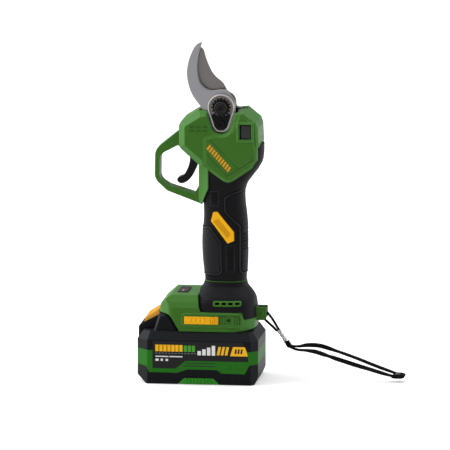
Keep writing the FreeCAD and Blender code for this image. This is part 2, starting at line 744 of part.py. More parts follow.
def vent_grille(side):
    """Slotted grille that follows the collar's surface."""
    xs = [-6.05 + 25.7 * k / 8 for k in range(9)]
    rings = []
    for z in (71.95, 73.7, 75.4, 77.05):
        outside = [(x, side * collar_edge(x, z, -0.35), z) for x in xs]
        inside = [(x, side * collar_edge(x, z, 1.85), z) for x in reversed(xs)]
        rings.append(outside + inside)
    grille = ring_solid(rings, twisted=True).common(prism_y(vent_outline(0.15), -50, 50))
    for k in range(4):
        x = -4.2 + k * 6.1
        grille = grille.cut(side_box(side, x, x + 4.1, 20, 40, 73.4, 75.6))
    return solid_of(grille)


def clear_screws(shape):
    for x, z in HOUSING_SCREWS:
        shape = shape.cut(cyl_y(x, z, 3.2, 5, 45))
    return shape


def build_housing():
    core = grip_loft(dim("over_thk"))
    collar_core = collar_loft(2.2)
    collar_zone = prism_y(COLLAR_CUT, -50, 50)
    collar = collar_loft(0).cut(collar_core).common(collar_zone)
    collar = collar.common(mid_box(-60, 60, 60, 50, 92.2)).cut(cyl_z(0, 0, 15.4, 80, 94))
    foot_core = collar_core.common(mid_box(-40, 60, 60, 60, 93.4))
    collar_room = collar_zone.common(mid_box(-40, 60, 60, 50, 92.8)).cut(collar_core)
    foot_front, foot_rear = [block.cut(collar_room) for block in foot_blocks()]
    outer = joined(
        head_block(), side_plates(), trigger_guard(), grip_strip(), core,
        foot_front, foot_rear, foot_core, side_panels(), lanyard_lug(),
    )
    hollow = outer.cut(housing_hollows()).fuse(inner_supports(outer))
    hollow = hollow.cut(pin_and_screw_holes()).fuse(display_bezel()).cut(foot_recesses())

    over = grip_loft(dim("skin_drop")).cut(core).cut(prism_y(HEAD_ZONE, -60, 60))
    over = clear_screws(over.common(mid_box(-60, 60, 60, 93.4, 240)).cut(outer))
    over = over.cut(union(prism_y(ACCENT, -30, -17.8), prism_y(ACCENT, 17.8, 30)))
    collar = collar.cut(outer.cut(foot_core)).cut(prism_y(vent_outline(), -50, 50))
    collar = clear_screws(collar).cut(mid_box(26.0, 45, 7.3, 57, 68))

    left_half = box(-120, 120, -90, 0, 0, 400)
    right_half = box(-120, 120, 0, 90, 0, 400)
    for name, half in (("left", left_half), ("right", right_half)):
        feature("shell_" + name, hollow.common(half))
        pieces = [solid_of(skin.common(half)) for skin in (over, collar)]
        feature("overmould_" + name, *pieces[0].Solids, *pieces[1].Solids)
    feature("vent_grilles", *[vent_grille(s) for s in SIDES])
    accent = inset(ACCENT, 0.15)
    feature("accent_plates", *[bevel_pad(accent, s * 17.9, s * 20.6, 0.6) for s in SIDES])


# ---------------------------------------------------------------- cutting head
# blade outlines, (x, z)
FIXED_OUTER = [
    (-17.9, 314.7), (-22.3, 312.9), (-25.5, 309.2), (-28.6, 302.4), (-30.8, 295.2),
    (-31.9, 287.8), (-31.6, 281.1), (-30.2, 274.4), (-28.0, 268.1), (-24.9, 262.6),
    (-21.2, 257.8), (-17.6, 253.2),
]
FIXED_TANG = [
    (-17.6, 253.2), (-15.6, 243.0), (-14.0, 223.0), (14.0, 223.0), (13.6, 240.0),
    (12.6, 250.0), (12.6, 257.0), (11.2, 262.0), (8.6, 266.4),
]
FIXED_SHOULDER = [(8.6, 266.4), (7.1, 268.9), (4.2, 271.3)]
FIXED_INNER = [
    (4.2, 271.3), (-1.6, 271.2), (-7.2, 270.3), (-12.2, 271.0), (-16.2, 273.5),
    (-19.6, 277.9), (-21.5, 284.1), (-22.3, 290.4), (-22.2, 296.5), (-21.2, 303.4),
    (-19.8, 308.5),
]
MOVING_BACK = [
    (-20.6, 310.0), (-18.6, 308.4), (-17.1, 306.4), (-16.2, 303.8), (-15.0, 299.5),
    (-12.7, 293.3), (-9.4, 286.5), (-5.4, 281.6), (-1.0, 278.2), (1.6, 275.2), (4.6, 269.6),
]
MOVING_EDGE = [  # starts from the root circle
    (-15.6, 265.4), (-19.4, 270.6), (-22.8, 276.6), (-25.0, 283.2), (-25.8, 290.2),
    (-25.4, 297.2), (-23.8, 304.0), (-20.6, 310.0),
]
NUT_LOCK = [
    (-8.6, 247.6), (-5.2, 237.0), (-2.5, 234.8), (2.5, 234.8), (5.2, 237.0), (8.6, 247.6),
    (6.0, 249.5), (-6.0, 249.5),
]


def build_fixed_blade():
    """Hooked anvil on the trigger side, with a tang bolted to the gear head."""
    body = new_body("fixed_blade")
    sketch = new_sketch(body, "blade_outline", "Dims.blade_front - Dims.blade_thk")
    sk_spline(sketch, FIXED_OUTER)
    sk_chain(sketch, FIXED_TANG)
    sk_spline(sketch, FIXED_SHOULDER)
    sk_spline(sketch, FIXED_INNER)
    sk_chain(sketch, [FIXED_INNER[-1], FIXED_OUTER[0]])
    sk_circle(sketch, 0, PIVOT_Z, 0.05, "bolt_rad")
    sk_circle(sketch, -TANG_X, TANG_Z, 1.7)
    sk_circle(sketch, TANG_X, TANG_Z, 1.7)
    sk_circle(sketch, 0, LOCK_Z, 1.5)
    pad(body, sketch, "Dims.blade_thk")


def build_moving_blade():
    """Convex cutter turning on the mid-plane side of the fixed blade."""
    body = new_body("moving_blade")
    sketch = new_sketch(body, "cutter_outline", "Dims.edge_back")
    radius = dim("root_rad")
    root_end, root_start = math.radians(52), math.radians(-204)
    end, start = [
        (radius * math.cos(turn), PIVOT_Z + radius * math.sin(turn))
        for turn in (root_end, root_start)
    ]
    sk_spline(sketch, MOVING_BACK)
    sk_chain(sketch, [MOVING_BACK[-1], end])
    root = Part.Circle(Vec(0, PIVOT_Z, 0), Vec(0, 0, 1), radius)
    sketch.addGeometry(Part.ArcOfCircle(root, root_start, root_end), False)
    sk_spline(sketch, [start] + MOVING_EDGE)
    sk_circle(sketch, 0, PIVOT_Z, 0.05, "bush_rad")
    for x, z in PEGS:
        sk_circle(sketch, x, z, 1.5)
    pad(body, sketch, "Dims.edge_thk")


def build_pivot_plate():
    """Teardrop plate with a raised rim."""
    body = new_body("pivot_plate")
    sketch = new_sketch(body, "plate_outline", "Dims.blade_front + 0.02")
    sk_poly(sketch, teardrop())
    sk_circle(sketch, 0, PIVOT_Z, 0.05, "bolt_rad")
    sk_circle(sketch, 0, LOCK_Z, 1.6)
    pad(body, sketch, "Dims.plate_thk", "Plate")
    sketch = new_sketch(body, "rim_outline", "Dims.blade_front + 0.02 + Dims.plate_thk")
    sk_poly(sketch, teardrop())
    sk_poly(sketch, teardrop(-1.3))
    pad(body, sketch, "1.6 mm", "Rim")


def build_adjusting_nut():
    """Toothed nut on the bolt, with a round hub."""
    body = new_body("adjusting_nut")
    sketch = new_sketch(body, "nut_outline", "Dims.blade_front + Dims.plate_thk + 0.05")
    tip, root = dim("nut_tip"), dim("nut_root")
    count = int(dim("nut_teeth"))
    pitch = 2 * math.pi / count
    pts = []
    for k in range(count):
        for part, r in ((-0.5, root), (-0.27, root), (-0.13, tip), (0.13, tip), (0.27, root)):
            turn = math.pi / 2 + (k + part) * pitch
            pts.append((r * math.cos(turn), PIVOT_Z + r * math.sin(turn)))
    sk_poly(sketch, pts)
    sk_circle(sketch, 0, PIVOT_Z, 0.02, "bolt_rad")
    pad(body, sketch, "2.6 mm", "Teeth")
    sketch = new_sketch(body, "nut_hub", "Dims.blade_front + Dims.plate_thk + 2.65")
    sk_circle(sketch, 0, PIVOT_Z, 5.9)
    sk_circle(sketch, 0, PIVOT_Z, 0.02, "bolt_rad")
    pad(body, sketch, "1.6 mm", "Hub")


def build_nut_lock():
    """Lock piece that engages two tooth gaps of the nut, and its screw."""
    tip, root = dim("nut_tip"), dim("nut_root")
    outline = rounded(NUT_LOCK, [0, 1, 2.5, 2.5, 1, 0, 0, 0], 4)
    lock = prism_y(outline, -NUT_OUTER, -NUT_INNER).cut(cyl_y(0, PIVOT_Z, tip + 0.2, -40, 0))
    tooth_pts = [
        (-0.42, -(tip + 0.8)), (0.42, -(tip + 0.8)), (0.32, -(root + 0.5)), (-0.32, -(root + 0.5)),
    ]
    for side in SIDES:
        tooth = prism_y(tooth_pts, -NUT_OUTER, -NUT_INNER)
        turned(tooth, (0, 1, 0), -side * 180 / dim("nut_teeth"))
        tooth.translate(Vec(0, 0, PIVOT_Z))
        lock = lock.fuse(tooth)
    feature("nut_lock", tidy(lock.cut(cyl_y(0, LOCK_Z, 1.6, -40, 0))))

    seat = "Dims.blade_front + Dims.plate_thk"
    centre = "Dims.pivot_z - Dims.tail_drop"
    tip_y = "-(Dims.blade_front - Dims.blade_thk + 0.2)"
    shank = tube_y("lock_shank", "1.48", f"-({seat} + 2.7)", tip_y, z=centre)
    head = tube_y("lock_head", "3.3", f"-({seat} + 4.9)", f"-({seat} + 2.7)", z=centre)
    socket = tube_y("lock_socket", "1.5", f"-({seat} + 5.5)", f"-({seat} + 3.4)", z=centre)
    keep_cut("lock_screw", fuse("lock_screw_body", shank, head), socket)


def build_pivot_bolt():
    """Bolt with its head at the +Y end and a socket in both ends, and its bush."""
    shank = tube_y("bolt_shank", "Dims.bolt_rad", "-24.4", "18.8")
    head = tube_y("bolt_head", "7", "18.8", "22.8")
    head_socket = tube_y("bolt_socket", "3", "20.4", "24")
    tip_socket = tube_y("bolt_tip_socket", "2.1", "-25", "-22.6")
    sockets = fuse("bolt_sockets", head_socket, tip_socket)
    keep_cut("pivot_bolt", fuse("pivot_bolt_body", shank, head), sockets)
    bush = tube_y("bush_body", "Dims.bush_rad", "-12.9", "15.1")
    keep_cut("pivot_bush", bush, tube_y("bush_bore", "Dims.bolt_rad", "-14", "16"))


def build_gear_head():
    """Gear head casting: bearing seat, blade pad and +Y cheek, with the tang screws."""
    cheek = [
        (-12.5, 224.0), (12.5, 224.0), (12.5, 240.0), (9.3, PIVOT_Z), (-9.3, PIVOT_Z),
        (-12.5, 240.0),
    ]
    casting = union(
        cyl_z(0, 0, 18.0, 221.0, 227.4),
        box(-14, 14, -13.0, -9.7, 221.0, 239.6),
        prism_y(cheek, 15.2, 18.75),
        cyl_y(0, PIVOT_Z, 9.4, 15.2, 18.75),
        prism_x([(9.5, 227.2), (15.3, 227.2), (15.3, 233.0), (14.9, 233.0)], -11, 11),
    )
    casting = casting.cut(cyl_z(0, 0, dim("bearing_out"), 222.6, 228))
    casting = casting.cut(cyl_z(0, 0, 5.2, 215, 230))
    casting = casting.cut(cyl_y(0, PIVOT_Z, dim("bolt_rad"), 10, 25))
    casting = casting.cut(box(-30, 30, -30, -13.0, 222.9, 240))  # seat for the tang
    screws = []
    for x in (-TANG_X, TANG_X):
        casting = casting.cut(cyl_y(x, TANG_Z, 1.5, -14, -5))
        screw = cyl_y(x, TANG_Z, 1.48, -17.1, -8.8).fuse(cyl_y(x, TANG_Z, 2.6, -18.7, -17.02))
        screws.append(solid_of(screw.cut(cyl_y(x, TANG_Z, 1.1, -20, -17.9))))
    feature("gear_head", tidy(casting))
    feature("blade_screws", *screws)


# ---------------------------------------------------------------- bevel gears
def involute_half(module, teeth, pressure, add, ded, shift, backlash, steps):
    """(height over the pitch line, half thickness) pairs from root to tip of a spur tooth."""
    pitch_rad = module * teeth / 2
    base_rad = pitch_rad * math.cos(pressure)
    thickness = module * (math.pi / 2 + 2 * shift * math.tan(pressure)) - backlash
    at_base = thickness / 2 / pitch_rad + math.tan(pressure) - pressure
    tip_rad, root_rad = pitch_rad + add, pitch_rad - ded
    out = []
    if root_rad < base_rad:
        out.append((root_rad - pitch_rad, root_rad * math.sin(at_base)))
    start = max(base_rad + 1e-4, root_rad)
    for k in range(steps + 1):
        radius = start + (tip_rad - start) * k / steps
        angle = math.acos(min(1, base_rad / radius))
        half = at_base - (math.tan(angle) - angle)
        out.append((radius * math.cos(half) - pitch_rad, radius * math.sin(half)))
    return out


BEVEL_MOD = dim("bevel_mod")
PINION_N, SECTOR_N = int(dim("pinion_teeth")), int(dim("sector_teeth"))
CONE = BEVEL_MOD / 2 * math.hypot(PINION_N, SECTOR_N)  # cone distance
INNER_END = (CONE - dim("bevel_face")) / CONE  # scale of the teeth's inner end
PINION_CONE = math.atan2(PINION_N, SECTOR_N)  # pitch cone angles
SECTOR_CONE = math.atan2(SECTOR_N, PINION_N)
PROFILE_SHIFT = 0.35


def on_cone(cone, height, scale=1.0):
    """Radius and axial distance from the apex of a point at a height over the pitch cone."""
    radius = CONE * math.sin(cone) + height * math.cos(cone)
    axial = CONE * math.cos(cone) - height * math.sin(cone)
    return radius * scale, axial * scale


def bevel_tooth(cone, teeth, add, ded, shift, angle):
    """Straight bevel tooth, apex at the origin, gear axis +Z, centred at angle.

    It reaches 0.8 below the root cone so that it merges with the gear's body.
    """
    virtual_teeth = teeth / math.cos(cone)
    half = involute_half(BEVEL_MOD, virtual_teeth, math.radians(20), add, ded, shift, 0.16, 5)
    half = [(half[0][0] - 0.8, half[0][1])] + half
    loop = half + [(height, -t) for height, t in reversed(half)]
    ca, sa = math.cos(angle), math.sin(angle)
    rings = []
    for k in (1.0, INNER_END):
        ring = []
        for height, t in loop:
            r, z = on_cone(cone, height, k)
            ring.append((r * ca - t * k * sa, r * sa + t * k * ca, z))
        rings.append(ring)
    return ring_solid(rings)


def lathe(pts):
    """Solid of revolution about Z from a closed (radius, z) outline."""
    face = poly_face([(radius, 0, z) for radius, z in pts])
    return face.revolve(Vec(0, 0, 0), Vec(0, 0, 1), 360)


def build_bevel_pinion():
    """Pinion with its output shaft, made pointing up from the apex and then turned over."""
    add, ded = 1.35 * BEVEL_MOD - 0.06, 0.9 * BEVEL_MOD + 0.06
    r0, z0 = on_cone(PINION_CONE, -ded)
    r1, z1 = on_cone(PINION_CONE, -ded, INNER_END)
    shaft, shoulder, end = dim("output_rad"), PIVOT_Z - 227.6, PIVOT_Z - 218.0
    pinion = lathe([
        (0, z1), (r1, z1), (r0, z0), (5.0, z0), (5.0, shoulder), (shaft, shoulder),
        (shaft, end), (0, end),
    ])
    pinion = solid_of(pinion.multiFuse([
        bevel_tooth(PINION_CONE, PINION_N, add, ded, PROFILE_SHIFT,
                    math.pi / 2 + 2 * math.pi * i / PINION_N)
        for i in range(PINION_N)
    ]))
    turned(pinion, (0, 1, 0), 180)
    pinion.translate(Vec(0, 0, PIVOT_Z))
    feature("bevel_pinion", pinion)


def build_sector_gear():
    """Sector gear, axis along +Y from the apex, with a boss and drive pegs towards -Y."""
    add, ded = 0.65 * BEVEL_MOD - 0.04, 1.6 * BEVEL_MOD + 0.06
    r0, z0 = on_cone(SECTOR_CONE, -ded)
    r1, z1 = on_cone(SECTOR_CONE, -ded, INNER_END)
    gear = lathe([(0, z1), (r1, z1), (r0, z0), (r0, 14.9), (0, 14.9)])
    turned(gear, (1, 0, 0), -90)  # +Z to +Y
    gear.translate(Vec(0, 0, PIVOT_Z))
    from_deg, to_deg = -103.0, -17.0  # in the x-z plane seen from -Y
    wedge = [(0, PIVOT_Z)]
    for k in range(13):
        turn = math.radians(from_deg + (to_deg - from_deg) * k / 12)
        wedge.append((40 * math.cos(turn), PIVOT_Z + 40 * math.sin(turn)))
    gear = gear.common(prism_y(wedge, -5, 20))
    pitch = 360 / SECTOR_N
    teeth = []
    for i in range(-1, 7):
        tooth = bevel_tooth(SECTOR_CONE, SECTOR_N, add, ded, -PROFILE_SHIFT, 0)
        turned(tooth, (1, 0, 0), -90)
        turned(tooth, (0, 1, 0), 90 - pitch / 2 - pitch * i)
        tooth.translate(Vec(0, 0, PIVOT_Z))
        teeth.append(tooth)
    gear = gear.multiFuse(teeth)
    gear = gear.fuse(cyl_y(0, PIVOT_Z, 10.1, -8.98, 14.9))
    gear = gear.cut(cyl_y(0, PIVOT_Z, dim("bush_rad") + 0.05, -20, 30))
    for x, z in PEGS:
        gear = gear.fuse(cyl_y(x, z, 1.48, -12.6, -6.0))
    feature("sector_gear", tidy(gear))


# ---------------------------------------------------------------- planetary gearbox
SPUR_MOD = dim("spur_mod")
SUN_N, PLANET_N, RING_N = [int(dim(k + "_teeth")) for k in ("sun", "planet", "ring")]
SHORT, LONG, BACKLASH = 0.8 * SPUR_MOD, 1.05 * SPUR_MOD, 0.07


def spur_outline(teeth, add, ded, backlash, turn):
    half = involute_half(SPUR_MOD, teeth, math.radians(25), add, ded, 0.0, backlash, 3)
    side = [(SPUR_MOD * teeth / 2 + height, t) for height, t in half]
    loop = [(x, -t) for x, t in side] + side[::-1]
    pts = []
    for i in range(teeth):
        angle = turn + 2 * math.pi * i / teeth
        c, s = math.cos(angle), math.sin(angle)
        pts += [(x * c - t * s, x * s + t * c) for x, t in loop]
    return pts


def spur(teeth, low, high, turn, cx=0.0, cy=0.0):
    pts = spur_outline(teeth, SHORT, LONG, BACKLASH, turn)
    return prism_z([(x + cx, y + cy) for x, y in pts], low, high)


def build_planetary():
    low, high = dim("ring_low"), dim("ring_high")
    # teeth of the ring are centred on multiples of its pitch, so its gaps sit half a pitch off
    gaps = spur_outline(RING_N, LONG, SHORT, -BACKLASH, math.pi / RING_N)
    ring = cyl_z(0, 0, dim("ring_out"), low, high).cut(prism_z(gaps, low - 1, high + 1))
    feature("ring_gear", ring)

    pin_rad, orbit = dim("pin_rad"), SPUR_MOD * (SUN_N + PLANET_N) / 2
    carrier = [cyl_z(0, 0, 12.4, 214.3, 218.0)]
    for k in range(3):
        angle = math.radians(90 + 120 * k)
        x, y = orbit * math.cos(angle), orbit * math.sin(angle)
        turn = angle + math.pi + math.pi / PLANET_N  # a gap faces the sun
        gear = spur(PLANET_N, dim("planet_low"), dim("planet_high"), turn, x, y)
        feature(f"planet_gear_{k + 1}", gear.cut(cyl_z(x, y, pin_rad + 0.05, 200, 220)))
        carrier.append(cyl_z(x, y, pin_rad, 204.2, 214.5))
    feature("planet_carrier", union(*carrier).cut(cyl_z(0, 0, 2.2, 210, 216.0)))


# ---------------------------------------------------------------- motor
def build_motor_case():
    disc = tube_z("mount_disc", "Dims.ring_out", "Dims.motor_high", "Dims.ring_low")
    keep_cut("motor_plate", disc, tube_z("mount_bore", "4.5", "190", "210"))
    can = tube_z("can_outer", "Dims.motor_rad", "Dims.motor_low - 4", "Dims.motor_high")
    inner = tube_z("can_inner", "Dims.motor_rad - 1.2", "Dims.motor_low", "Dims.motor_high + 1")
    seat = tube_z("can_bearing_seat", "4.5", "Dims.motor_low - 5", "Dims.motor_low + 1")
    keep_cut("motor_can", can, fuse("motor_can_bores", inner, seat))


def build_stator():
    """Slotted stator with the ends of its windings."""
    slot_side = [(7.5, -0.7), (9.4, -0.7), (9.4, -2.6), (12.0, -3.6)]  # x, y
    slot_pts = slot_side + [(x, -y) for x, y in reversed(slot_side)]
    stator = cyl_z(0, 0, 13.8, 160, 190).cut(cyl_z(0, 0, 8.2, 150, 200))
    coils = []
    for k in range(6):
        stator = stator.cut(turned(prism_z(slot_pts, 150, 200), (0, 0, 1), 60 * k + 30))
        ends = mid_box(9.5, 11.9, 4.4, 157.2, 160.0).fuse(mid_box(9.5, 11.9, 4.4, 190.0, 192.8))
        coils += turned(ends, (0, 0, 1), 60 * k).Solids
    feature("stator", stator)
    feature("windings", *coils)


def build_bearings():
    """Two motor shaft bearings and the output bearing."""
    shaft = dim("shaft_rad")
    bearings = [
        cyl_z(0, 0, 4.48, low, high).cut(cyl_z(0, 0, shaft + 0.03, low - 1, high + 1))
        for low, high in ((148.4, 151.8), (200.6, 203.1))
    ]
    output = cyl_z(0, 0, dim("bearing_out"), 222.65, 227.2)
    bearings.append(output.cut(cyl_z(0, 0, dim("output_rad") + 0.03, 220, 230)))
    feature("bearings", *bearings)


def build_rotor():
    """Shaft with the sun gear cut on it, the rotor magnets and the cooling fan."""
    shaft = dim("shaft_rad")
    sun = spur(SUN_N, 204.6, 213.8, 0.0)
    feature("rotor_shaft", cyl_z(0, 0, shaft, 146.5, 214.0).fuse(sun))
    magnets = tube_z("rotor_body", "Dims.rotor_rad", "158", "192")
    keep_cut("rotor_magnets", magnets, tube_z("rotor_bore", "Dims.shaft_rad", "150", "200"))
    fan = cyl_z(0, 0, 4.0, 194.0, 199.4).fuse(cyl_z(0, 0, 12.6, 194.0, 195.2))
    for k in range(9):
        fan = fan.fuse(turned(mid_box(3.5, 12.4, 0.5, 195.0, 199.4), (0, 0, 1), 40 * k))
    feature("cooling_fan", tidy(fan).cut(cyl_z(0, 0, shaft, 180, 210)))


# ---------------------------------------------------------------- trigger
TRIGGER_LEVER = [  # curved lever, (x, z)
    (-31.4, 209.0), (-30.6, 204.8), (-31.6, 199.0), (-34.0, 193.2), (-37.0, 189.0),
    (-40.2, 187.6), (-42.2, 186.2), (-42.3, 184.4), (-40.6, 182.3), (-38.0, 181.8),
    (-35.0, 182.6), (-31.6, 185.0), (-28.6, 188.8), (-26.0, 193.8), (-24.0, 198.8),
    (-23.2, 204.0), (-23.0, 209.0),
]
TRIGGER_TOP = [  # straight-sided top, (x, z)
    (-23.0, 209.0), (-23.0, 216.0), (-24.6, 222.8), (-29.6, 222.8), (-31.4, 216.0),
    (-31.4, 209.0),
]
MAGNET_X, MAGNET_Z, MAGNET_RAD = -27.2, 219.6, 1.2


def build_trigger():
    body = new_body("trigger")
    sketch = new_sketch(body, "trigger_outline")
    sk_spline(sketch, TRIGGER_LEVER)
    sk_chain(sketch, TRIGGER_TOP)
    sk_circle(sketch, dim("trigger_x"), dim("trigger_z"), 0.05, "trigger_pin")
    sk_circle(sketch, MAGNET_X, MAGNET_Z, MAGNET_RAD)
    pad(body, sketch, "Dims.trigger_half * 2", "TriggerPad", midplane=True)
    pin = tube_y("trigger_pin_rod", "Dims.trigger_pin", "-14.5", "14.5",
                 "Dims.trigger_x", "Dims.trigger_z")
    keep("trigger_pin", pin)
    magnet = tube_y("magnet_rod", str(MAGNET_RAD), "-4", "4", str(MAGNET_X), str(MAGNET_Z))
    keep("trigger_magnet", magnet)
    spring = helix_spring(radius=1.9, wire=0.3, height=5.6, turns=4,
                          base=(-36.6, 0, 220.6), axis=(1, 0, 0))
    feature("trigger_spring", spring)
    board = box(-29.5, -23.5, -10.4, -9.0, 218.1, 227.0)
    feature("hall_board", union(board, box(-28.4, -25.6, -9.1, -7.6, 218.4, 221.2)))


# ---------------------------------------------------------------- display, button, boards
def build_display():
    body = new_body("display_lens")
    sketch = new_sketch(body, "lens_outline", "21.2 mm")
    sk_poly(sketch, rect(17.8, 27.9, 226.6, 239.6))
    pad(body, sketch, "1.6 mm")
    board = box(17.8, 28.0, -20.4, -18.8, 226.4, 239.6)
    feature("display_board", union(board, box(18.4, 27.4, -21.1, -20.3, 227.2, 239.0)))


def build_power_button():
    """Rounded button with a bevelled top and a flange under the deck."""
    x, half_len, half_wid = dim("button_x"), dim("button_len") / 2, dim("button_wid") / 2
    plan = rounded(rect(x - half_wid, x + half_wid, -half_len, half_len), 2.0, 5)
    button = loft_z((plan, 77.9), (plan, 81.9), (inset(plan, 0.6), 82.5))
    feature("power_button", union(button, mid_box(x - 4.4, x + 6.2, 15.0, 77.0, 78.2)))


def build_control_board():
    board = union(
        mid_box(-39.5, 15.0, 24.0, 69.0, 70.6),
        mid_box(-38.5, -34.0, 3.0, 70.6, 75.6),
        box(-14, -6, -20, -12, 70.6, 72.6),
        box(-2, 6, 9, 17, 70.6, 72.4),
        cyl_z(-22, 14, 5.0, 70.6, 76.0),
        cyl_z(-22, -14, 5.0, 70.6, 76.0),
        mid_box(-30, -25, 5, 70.6, 72.2),
    )
    feature("control_board", board.cut(cyl_z(0, 0, 6, 60, 72)))


def build_terminals():
    block = mid_box(19.9, 27.5, 14.9, 48.8, 61.0).cut(mid_box(27.0, 30, 20, 40, 49))
    for y in TERMINAL_Y:
        block = block.cut(box(19, 24.0, y - 0.4, y + 0.4, 50.6, 55.6))
    feature("terminal_block", block)
    blades = [box(6.5, 23.9, y - 0.38, y + 0.38, 50.7, 55.5) for y in TERMINAL_Y]
    feature("terminal_blades", *blades)


def cable(pts, radius):
    curve = spline(pts)
    path = Part.Wire(curve.toShape())
    tangent = curve.tangent(curve.FirstParameter)[0]
    profile = Part.Wire(Part.makeCircle(radius, Vec(*pts[0]), tangent))
    return path.makePipeShell([profile], True, True)


def build_motor_leads():
    leads = []
    for x, end_x, end_y in ((-3.0, -8.0, 0.0), (0.0, -5.0, 6.0), (3.0, -3.5, -7.0)):
        path = [(x, 0, 71.5), (x - 3.5, 0, 90), (x - 3.5, 0, 120), (end_x, end_y, 146.0)]
        leads += cable(path, 0.9).Solids
    feature("motor_leads", *leads)


# ---------------------------------------------------------------- badges, screws
def build_foot_badges():
    badges = []
    for side in SIDES:
        y0, y1 = FOOT_HALF - 0.55, FOOT_HALF + 1.2
        badge = side_box(side, -32.6, -1.0, y0, y1 - 0.4, 55.4, 62.6)
        for x in (-9.2, -7.2, -5.2, -3.2):
            badge = badge.fuse(side_box(side, x, x + 1.0, y0, y1, 55.4, 62.6))
        badges.append(solid_of(tidy(badge)))
    feature("foot_badges", *badges)


def build_housing_screws():
    """Cross-slotted screws, heads towards +Y."""
    screws = []
    for x, z in HOUSING_SCREWS:
        screw = union(cyl_y(x, z, 1.48, -9.0, 9.5), cyl_y(x, z, 2.8, 9.02, 11.2))
        for across, up in ((1.7, 0.35), (0.35, 1.7)):
            screw = screw.cut(box(x - across, x + across, 10.2, 12, z - up, z + up))
        screws.append(solid_of(screw))
    feature("housing_screws", *screws)


# ---------------------------------------------------------------- battery pack
FRONT, REAR = dim("pack_front"), dim("pack_rear")
PACK_PLAN = [  # x, y
    (-66.2, -PACK_HALF), (29.4, -PACK_HALF), (REAR, -30), (REAR, 30), (29.4, PACK_HALF),
    (-66.2, PACK_HALF), (FRONT, 27), (FRONT, -27),
]
# pack outlines, (x, z)
PACK_SIDE = [(FRONT, 7.0), (-68.0, 0), (32.4, 0), (REAR, 6.8), (REAR, 60), (FRONT, 60)]
HUMP = [
    (-61.6, 44), (-61.6, 47.6), (-56.8, 62.6), (-51.3, 63.9), (-47.8, 63.0), (-45.0, 60.2),
    (-38.2, 48.0), (-38.2, 44),
]
LATCH_HOUSE = [(FRONT, 40), (FRONT, 49.8), (-75.2, 51.8), (-57.4, 61.2), (-57.4, 44)]
LOW_LINE = [  # joint between base and band
    (-90, 16.8), (-67.4, 16.3), (-64.6, 10.6), (-38.8, 10.4), (-29.2, 13.7), (-1.6, 13.7),
    (2.8, 10.5), (24.0, 10.3), (28.4, 18.7), (90, 18.7),
]
UP_LINE = [(-90, 32.0), (-67.0, 31.2), (-30.0, 31.2), (20.0, 31.0), (90, 31.0)]
LABEL = [
    (-61.2, 14.4), (-39.8, 14.4), (-30.8, 21.8), (27.4, 21.8), (27.0, 28.0), (23.8, 36.6),
    (21.4, 39.9), (-61.2, 39.9),
]
PAD_SEAT = [(-38.2, 0.0), (-32.2, 5.8), (-5.0, 5.8), (1.0, 0.0)]
SIDE_PAD = [(-37.8, 0.2), (-32.0, 5.65), (-5.2, 5.65), (0.6, 0.2)]
LATCH = [
    (-74.4, 51.6), (-74.4, 53.4), (-73.4, 54.6), (-58.6, 65.0), (-57.5, 65.0), (-57.5, 51.6),
]
CELL_X = [-18.6 + dim("cell_pitch") * (i - 2) for i in range(5)]
CELL_Z = [12.6 + dim("cell_pitch") * j for j in range(2)]
CELLS = [(x, z) for x in CELL_X for z in CELL_Z]


def side_recess(outline, depth):
    """Tool that sinks an outline into both sides of the pack."""
    floor = PACK_HALF - depth
    return union(prism_y(outline, -45, -floor), prism_y(outline, floor, 45))


def build_pack_shell():
    """Pack case in three stacked pieces."""
    deck = inset(PACK_PLAN, 5.4)
    pack = loft_z((PACK_PLAN, 0.0), (PACK_PLAN, 40.4), (deck, dim("pack_top")))
    pack = pack.common(prism_y(PACK_SIDE, -50, 50))
    rail = union(
        mid_box(-44, 19.4, dim("rail_neck"), 44, 53.8),
        mid_box(-37.4, 19.4, dim("rail_lip"), 53.5, 57.2),
    )
    hump = bevel_prism(HUMP, 27.0, 30.0, 2.0)
    full = union(pack, hump, prism_y(LATCH_HOUSE, -19, 19), rail)
    plan = inset(PACK_PLAN, 3.0)
    inner = loft_z((plan, 0.0), (plan, 40.0), (inset(deck, 3.0), 47.0))
    full = full.cut(mid_box(-66.4, 29.6, 34.4, 3.0, 45.0).common(inner))
    full = full.cut(mid_box(-74.8, -57.0, 14.4, 47.0, 80))  # latch wells
    full = full.cut(mid_box(-61.0, -48.6, 9.4, 54.5, 80))
    for y in TERMINAL_Y:
        full = full.cut(box(5.5, 20, y - 0.7, y + 0.7, 50.2, 56.0))
    full = full.cut(side_recess(LABEL, 0.5))
    full = full.cut(side_recess(PAD_SEAT, 0.8))
    zones = (
        ("pack_base", LOW_LINE + [(90, -5), (-90, -5)]),
        ("pack_band", LOW_LINE + UP_LINE[::-1]),
        ("pack_top_shell", UP_LINE + [(90, 120), (-90, 120)]),
    )
    for label, zone in zones:
        feature(label, full.common(prism_y(zone, -60, 60)))


def build_pack_sides():
    """Labels and ribbed pads on the pack's sides."""
    label = inset(LABEL, 0.12)
    labels = [prism_y(label, s * (PACK_HALF - 0.48), s * (PACK_HALF + 0.05)) for s in SIDES]
    feature("pack_labels", *labels)
    pads = []
    for side in SIDES:
        y0, y1 = sorted((side * (PACK_HALF - 0.78), side * (PACK_HALF + 0.2)))
        side_pad = prism_y(SIDE_PAD, y0, y1)
        for k in range(8):
            x = -31.2 + 3.2 * k
            rib = side_box(side, x, x + 1.5, PACK_HALF - 0.7, PACK_HALF + 0.9, 0.2, 5.4)
            side_pad = side_pad.fuse(rib)
        pads.append(solid_of(tidy(side_pad)))
    feature("pack_side_pads", *pads)


